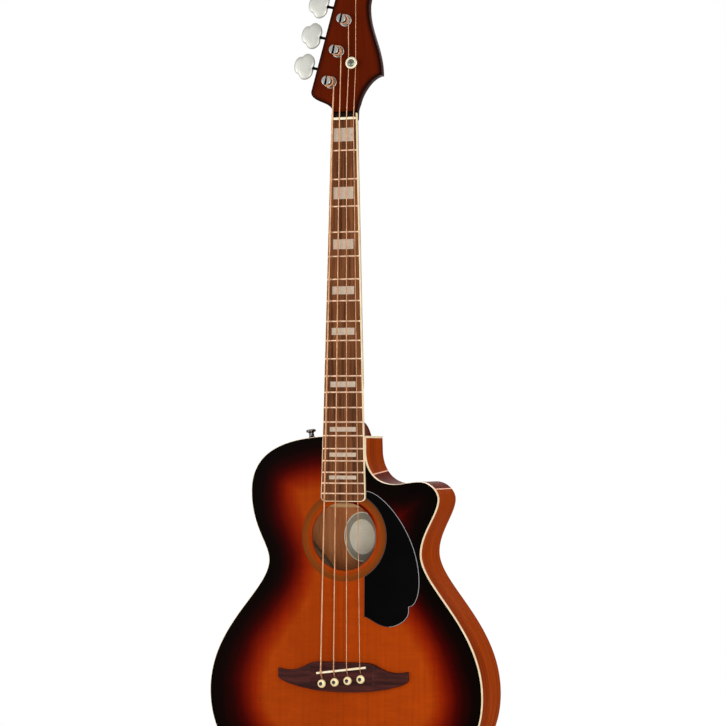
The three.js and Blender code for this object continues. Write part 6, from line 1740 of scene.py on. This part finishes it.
def make_lamps(scene):
    """Five square softboxes that face the instrument's middle, with their powers in watts."""
    middle = Vector((0.0, 0.03, -0.40))
    lamps = [
        ("front_softbox", (1.2, -2.8, -0.75), 1.2, 44),
        ("left_softbox", (-1.9, -2.1, -0.2), 1.6, 30),
        ("right_softbox", (2.3, -0.9, 0.3), 1.6, 22),
        ("top_softbox", (0.1, 0.6, 1.9), 1.8, 14),
        ("back_softbox", (-0.6, 2.4, 0.4), 1.8, 26),
    ]
    for name, place, size, power in lamps:
        lamp = bpy.data.lights.new(name, "AREA")
        lamp.shape = "SQUARE"
        lamp.size = size
        lamp.energy = power * scene.bass_stage.light_share
        held = bpy.data.objects.new(name, lamp)
        held.location = place
        held.rotation_euler = (middle - Vector(place)).to_track_quat("-Z", "Y").to_euler()
        scene.collection.objects.link(held)


def make_world(scene):
    """A soft white world that the camera, gloss and clear surfaces see at full strength."""
    world = bpy.data.worlds.new("studio")
    scene.world = world
    world.use_nodes = True
    tree = world.node_tree
    soft, white = tree.nodes["Background"], tree.nodes.new("ShaderNodeBackground")
    for light, strength in ((soft, scene.bass_stage.world_share), (white, 1.0)):
        light.inputs["Color"].default_value = (1, 1, 1, 1)
        light.inputs["Strength"].default_value = strength

    def larger(first, second):
        """The larger of two values."""
        made = tree.nodes.new("ShaderNodeMath")
        made.operation = "MAXIMUM"
        tree.links.new(first, made.inputs[0])
        tree.links.new(second, made.inputs[1])
        return made.outputs[0]

    ray = tree.nodes.new("ShaderNodeLightPath").outputs
    seen = larger(larger(ray["Is Camera Ray"], ray["Is Glossy Ray"]), ray["Is Transmission Ray"])
    mix = tree.nodes.new("ShaderNodeMixShader")
    tree.links.new(seen, mix.inputs[0])
    tree.links.new(soft.outputs[0], mix.inputs[1])
    tree.links.new(white.outputs[0], mix.inputs[2])
    tree.links.new(mix.outputs[0], tree.nodes["World Output"].inputs["Surface"])


def make_camera(scene):
    """A camera placed and turned by the stage's settings."""
    stage = scene.bass_stage
    lens = bpy.data.cameras.new("photo_camera")
    lens.lens = stage.focal_length
    lens.sensor_width = 36.0
    lens.clip_end = 20.0
    camera = bpy.data.objects.new("photo_camera", lens)
    yaw, pitch, roll = stage.view_turn, stage.view_lift, stage.view_roll
    ahead = Vector((-math.sin(yaw) * math.cos(pitch), math.cos(yaw) * math.cos(pitch), math.sin(pitch)))
    right = Vector((math.cos(yaw), math.sin(yaw), 0))
    up = right.cross(ahead)
    turned = Matrix((right, up, -ahead)).transposed() @ Matrix.Rotation(roll, 3, "Z")
    camera.matrix_world = Matrix.Translation(Vector(stage.view_place)) @ turned.to_4x4()
    scene.collection.objects.link(camera)
    scene.camera = camera


# Settings, operators and panel


def length(label, text, default, low=0.0, high=1.0):
    """A length in metres with its own limits."""
    return bpy.props.FloatProperty(name=label, description=text, default=default, min=low, max=high,
                                   precision=4, subtype="DISTANCE", unit="LENGTH")


def share_of(label, text, default, high):
    """A share of something's plain strength, from nothing up to its own limit."""
    return bpy.props.FloatProperty(name=label, description=text, default=default, min=0.0, max=high,
                                   subtype="FACTOR")


def angle(label, text, default):
    """An angle in radians."""
    return bpy.props.FloatProperty(name=label, description=text, default=default, subtype="ANGLE",
                                   unit="ROTATION")


def tint(label, text, colour):
    """A colour, written as it shows."""
    return bpy.props.FloatVectorProperty(name=label, description=text, default=linear(colour), size=4,
                                         min=0.0, max=1.0, subtype="COLOR")


class BassGuitarSettings(bpy.types.PropertyGroup):
    """Sizes and colours of the instrument's dressing."""
    black_band: length("Black band", "Width of the burst's black edge", 0.024, 0, 0.1)
    burst_fade: length("Burst fade", "Distance over which the black gives way to orange", 0.072, 0.01, 0.3)
    fret_height: length("Fret height", "How far a fret's crown stands above the board", 0.0012, 0.0002, 0.002)
    winding_pitch: length("Winding pitch", "Distance between two turns of the strings' outer wire",
                          0.0005, 0.0002, 0.002)
    side_light: tint("Sides, light", "Lightest stain of the sides", "ac4408")
    side_dark: tint("Sides, dark", "Darker stain of the sides", "742403")
    neck_light: tint("Neck, light", "Lightest stain of the neck", "6e2109")
    neck_dark: tint("Neck, dark", "Darker stain of the neck", "471104")
    edging_colour: tint("Edging", "Cream of the body's and the board's edging", "f6e2bd")
    key_colour: tint("Keys", "Silver of the tuning keys", "b2b1aa")
    string_colour: tint("Strings", "Bronze of the windings", "e0ae86")


class BassStageSettings(bpy.types.PropertyGroup):
    """Floor, light and camera."""
    floor_radius: length("Floor radius", "Radius of the floor's disc", 0.9, 0.5, 5)
    light_share: share_of("Light", "Share of the lamps' plain power", 1.0, 5.0)
    world_share: share_of("World light", "Strength of the world's own light", 0.42, 2.0)
    focal_length: bpy.props.FloatProperty(name="Focal length", description="The lens for a 36 mm sensor",
                                          default=119.27, min=10.0, max=400.0, subtype="NONE")
    view_place: bpy.props.FloatVectorProperty(name="Camera place", description="Where the camera stands",
                                              default=(1.1555, -3.1868, -0.4624),
                                              subtype="XYZ", unit="LENGTH")
    view_turn: angle("Camera turn", "Turn about the upright axis", 0.3401)
    view_lift: angle("Camera lift", "How far the camera looks up", 0.0351)
    view_roll: angle("Camera roll", "Turn about the line of sight", 0.0029)


class BASS_OT_soundboard(bpy.types.Operator):
    """Builds the burst soundboard with its soundhole"""
    bl_idname = "bass.soundboard"
    bl_label = "Soundboard"

    def execute(self, context):
        make_soundboard()
        return {"FINISHED"}


class BASS_OT_rosette(bpy.types.Operator):
    """Builds the ring let in round the soundhole"""
    bl_idname = "bass.rosette"
    bl_label = "Rosette"

    def execute(self, context):
        make_rosette()
        return {"FINISHED"}


class BASS_OT_sides(bpy.types.Operator):
    """Builds the four bent walls of the body"""
    bl_idname = "bass.sides"
    bl_label = "Sides"

    def execute(self, context):
        make_sides()
        return {"FINISHED"}


class BASS_OT_body_edging(bpy.types.Operator):
    """Builds the cream edging, the strips of the cutaway and the corner post"""
    bl_idname = "bass.body_edging"
    bl_label = "Body edging"

    def execute(self, context):
        make_body_edging()
        return {"FINISHED"}


class BASS_OT_back(bpy.types.Operator):
    """Builds the domed back with its braces"""
    bl_idname = "bass.back"
    bl_label = "Back"

    def execute(self, context):
        make_back()
        return {"FINISHED"}


class BASS_OT_pickguard(bpy.types.Operator):
    """Builds the bevelled pickguard"""
    bl_idname = "bass.pickguard"
    bl_label = "Pickguard"

    def execute(self, context):
        make_guard()
        return {"FINISHED"}


class BASS_OT_bridge(bpy.types.Operator):
    """Builds the bridge with its scooped wings"""
    bl_idname = "bass.bridge"
    bl_label = "Bridge"

    def execute(self, context):
        make_bridge()
        return {"FINISHED"}


class BASS_OT_saddle(bpy.types.Operator):
    """Builds the crowned saddle"""
    bl_idname = "bass.saddle"
    bl_label = "Saddle"

    def execute(self, context):
        make_saddle()
        return {"FINISHED"}


class BASS_OT_bridge_pins(bpy.types.Operator):
    """Turns the four bridge pins"""
    bl_idname = "bass.bridge_pins"
    bl_label = "Bridge pins"

    def execute(self, context):
        make_pins()
        return {"FINISHED"}


class BASS_OT_neck(bpy.types.Operator):
    """Builds the neck, its heel and the headstock"""
    bl_idname = "bass.neck"
    bl_label = "Neck"

    def execute(self, context):
        make_neck()
        return {"FINISHED"}


class BASS_OT_fretboard(bpy.types.Operator):
    """Builds the crowned fretboard and its cream edging"""
    bl_idname = "bass.fretboard"
    bl_label = "Fretboard"

    def execute(self, context):
        make_fretboard()
        make_board_edging()
        return {"FINISHED"}


class BASS_OT_frets(bpy.types.Operator):
    """Builds the fret wires"""
    bl_idname = "bass.frets"
    bl_label = "Frets"

    def execute(self, context):
        make_frets()
        return {"FINISHED"}


class BASS_OT_inlays(bpy.types.Operator):
    """Builds the pearl position blocks"""
    bl_idname = "bass.inlays"
    bl_label = "Inlays"

    def execute(self, context):
        make_inlays()
        return {"FINISHED"}


class BASS_OT_nut(bpy.types.Operator):
    """Builds the slotted nut"""
    bl_idname = "bass.nut"
    bl_label = "Nut"

    def execute(self, context):
        make_nut()
        return {"FINISHED"}


class BASS_OT_strings(bpy.types.Operator):
    """Builds the four wound strings and their ends in the posts"""
    bl_idname = "bass.strings"
    bl_label = "Strings"

    def execute(self, context):
        make_strings()
        return {"FINISHED"}


class BASS_OT_string_posts(bpy.types.Operator):
    """Turns the slotted posts and their bushings"""
    bl_idname = "bass.string_posts"
    bl_label = "String posts"

    def execute(self, context):
        make_posts()
        return {"FINISHED"}


class BASS_OT_tuner_plates(bpy.types.Operator):
    """Builds the tuners' base plates, ears and screws"""
    bl_idname = "bass.tuner_plates"
    bl_label = "Tuner plates"

    def execute(self, context):
        make_tuner_plates()
        return {"FINISHED"}


class BASS_OT_tuner_keys(bpy.types.Operator):
    """Builds the lobed keys with their worms"""
    bl_idname = "bass.tuner_keys"
    bl_label = "Tuner keys"

    def execute(self, context):
        make_tuner_keys()
        return {"FINISHED"}


class BASS_OT_retainer(bpy.types.Operator):
    """Builds the string retainer with its screw"""
    bl_idname = "bass.retainer"
    bl_label = "String retainer"

    def execute(self, context):
        make_retainer()
        return {"FINISHED"}


class BASS_OT_strap_buttons(bpy.types.Operator):
    """Turns the two strap buttons"""
    bl_idname = "bass.strap_buttons"
    bl_label = "Strap buttons"

    def execute(self, context):
        make_strap_buttons()
        return {"FINISHED"}


class BASS_OT_inner_woodwork(bpy.types.Operator):
    """Finishes the blocks, linings, braces, truss rod and wheels"""
    bl_idname = "bass.inner_woodwork"
    bl_label = "Inner woodwork"

    def execute(self, context):
        make_inner_woodwork()
        return {"FINISHED"}


class BASS_OT_label(bpy.types.Operator):
    """Lays the bare paper label on the back's inside"""
    bl_idname = "bass.label"
    bl_label = "Paper label"

    def execute(self, context):
        make_label()
        return {"FINISHED"}


class BASS_OT_stage(bpy.types.Operator):
    """Sets up the floor, the soft lamps, the world and the camera"""
    bl_idname = "bass.stage"
    bl_label = "Stage"

    def execute(self, context):
        make_stage(context.scene)
        return {"FINISHED"}


OPERATORS = (
    BASS_OT_soundboard, BASS_OT_rosette, BASS_OT_sides, BASS_OT_body_edging, BASS_OT_back,
    BASS_OT_pickguard, BASS_OT_bridge, BASS_OT_saddle, BASS_OT_bridge_pins, BASS_OT_neck,
    BASS_OT_fretboard, BASS_OT_frets, BASS_OT_inlays, BASS_OT_nut, BASS_OT_strings,
    BASS_OT_string_posts, BASS_OT_tuner_plates, BASS_OT_tuner_keys, BASS_OT_retainer,
    BASS_OT_strap_buttons, BASS_OT_inner_woodwork, BASS_OT_label, BASS_OT_stage,
)


class BASS_PT_pieces(bpy.types.Panel):
    """Lists the settings and the operators in the sidebar"""
    bl_label = "Bass guitar"
    bl_space_type = "VIEW_3D"
    bl_region_type = "UI"
    bl_category = "Bass guitar"

    def draw(self, context):
        for group in (context.scene.bass_guitar, context.scene.bass_stage):
            box = self.layout.box()
            for key in group.__annotations__:
                box.prop(group, key)
        for operator in OPERATORS:
            self.layout.operator(operator.bl_idname)


CLASSES = (BassGuitarSettings, BassStageSettings, *OPERATORS, BASS_PT_pieces)


def register():
    """Registers the classes and hangs the settings on the scene."""
    for kind in CLASSES:
        bpy.utils.register_class(kind)
    bpy.types.Scene.bass_guitar = bpy.props.PointerProperty(type=BassGuitarSettings)
    bpy.types.Scene.bass_stage = bpy.props.PointerProperty(type=BassStageSettings)


def unregister():
    """Takes the settings and the classes away again."""
    del bpy.types.Scene.bass_stage
    del bpy.types.Scene.bass_guitar
    for kind in reversed(CLASSES):
        bpy.utils.unregister_class(kind)


def main():
    register()
    for operator in OPERATORS:
        group, name = operator.bl_idname.split(".")
        getattr(getattr(bpy.ops, group), name)()


if __name__ == "__main__":
    main()
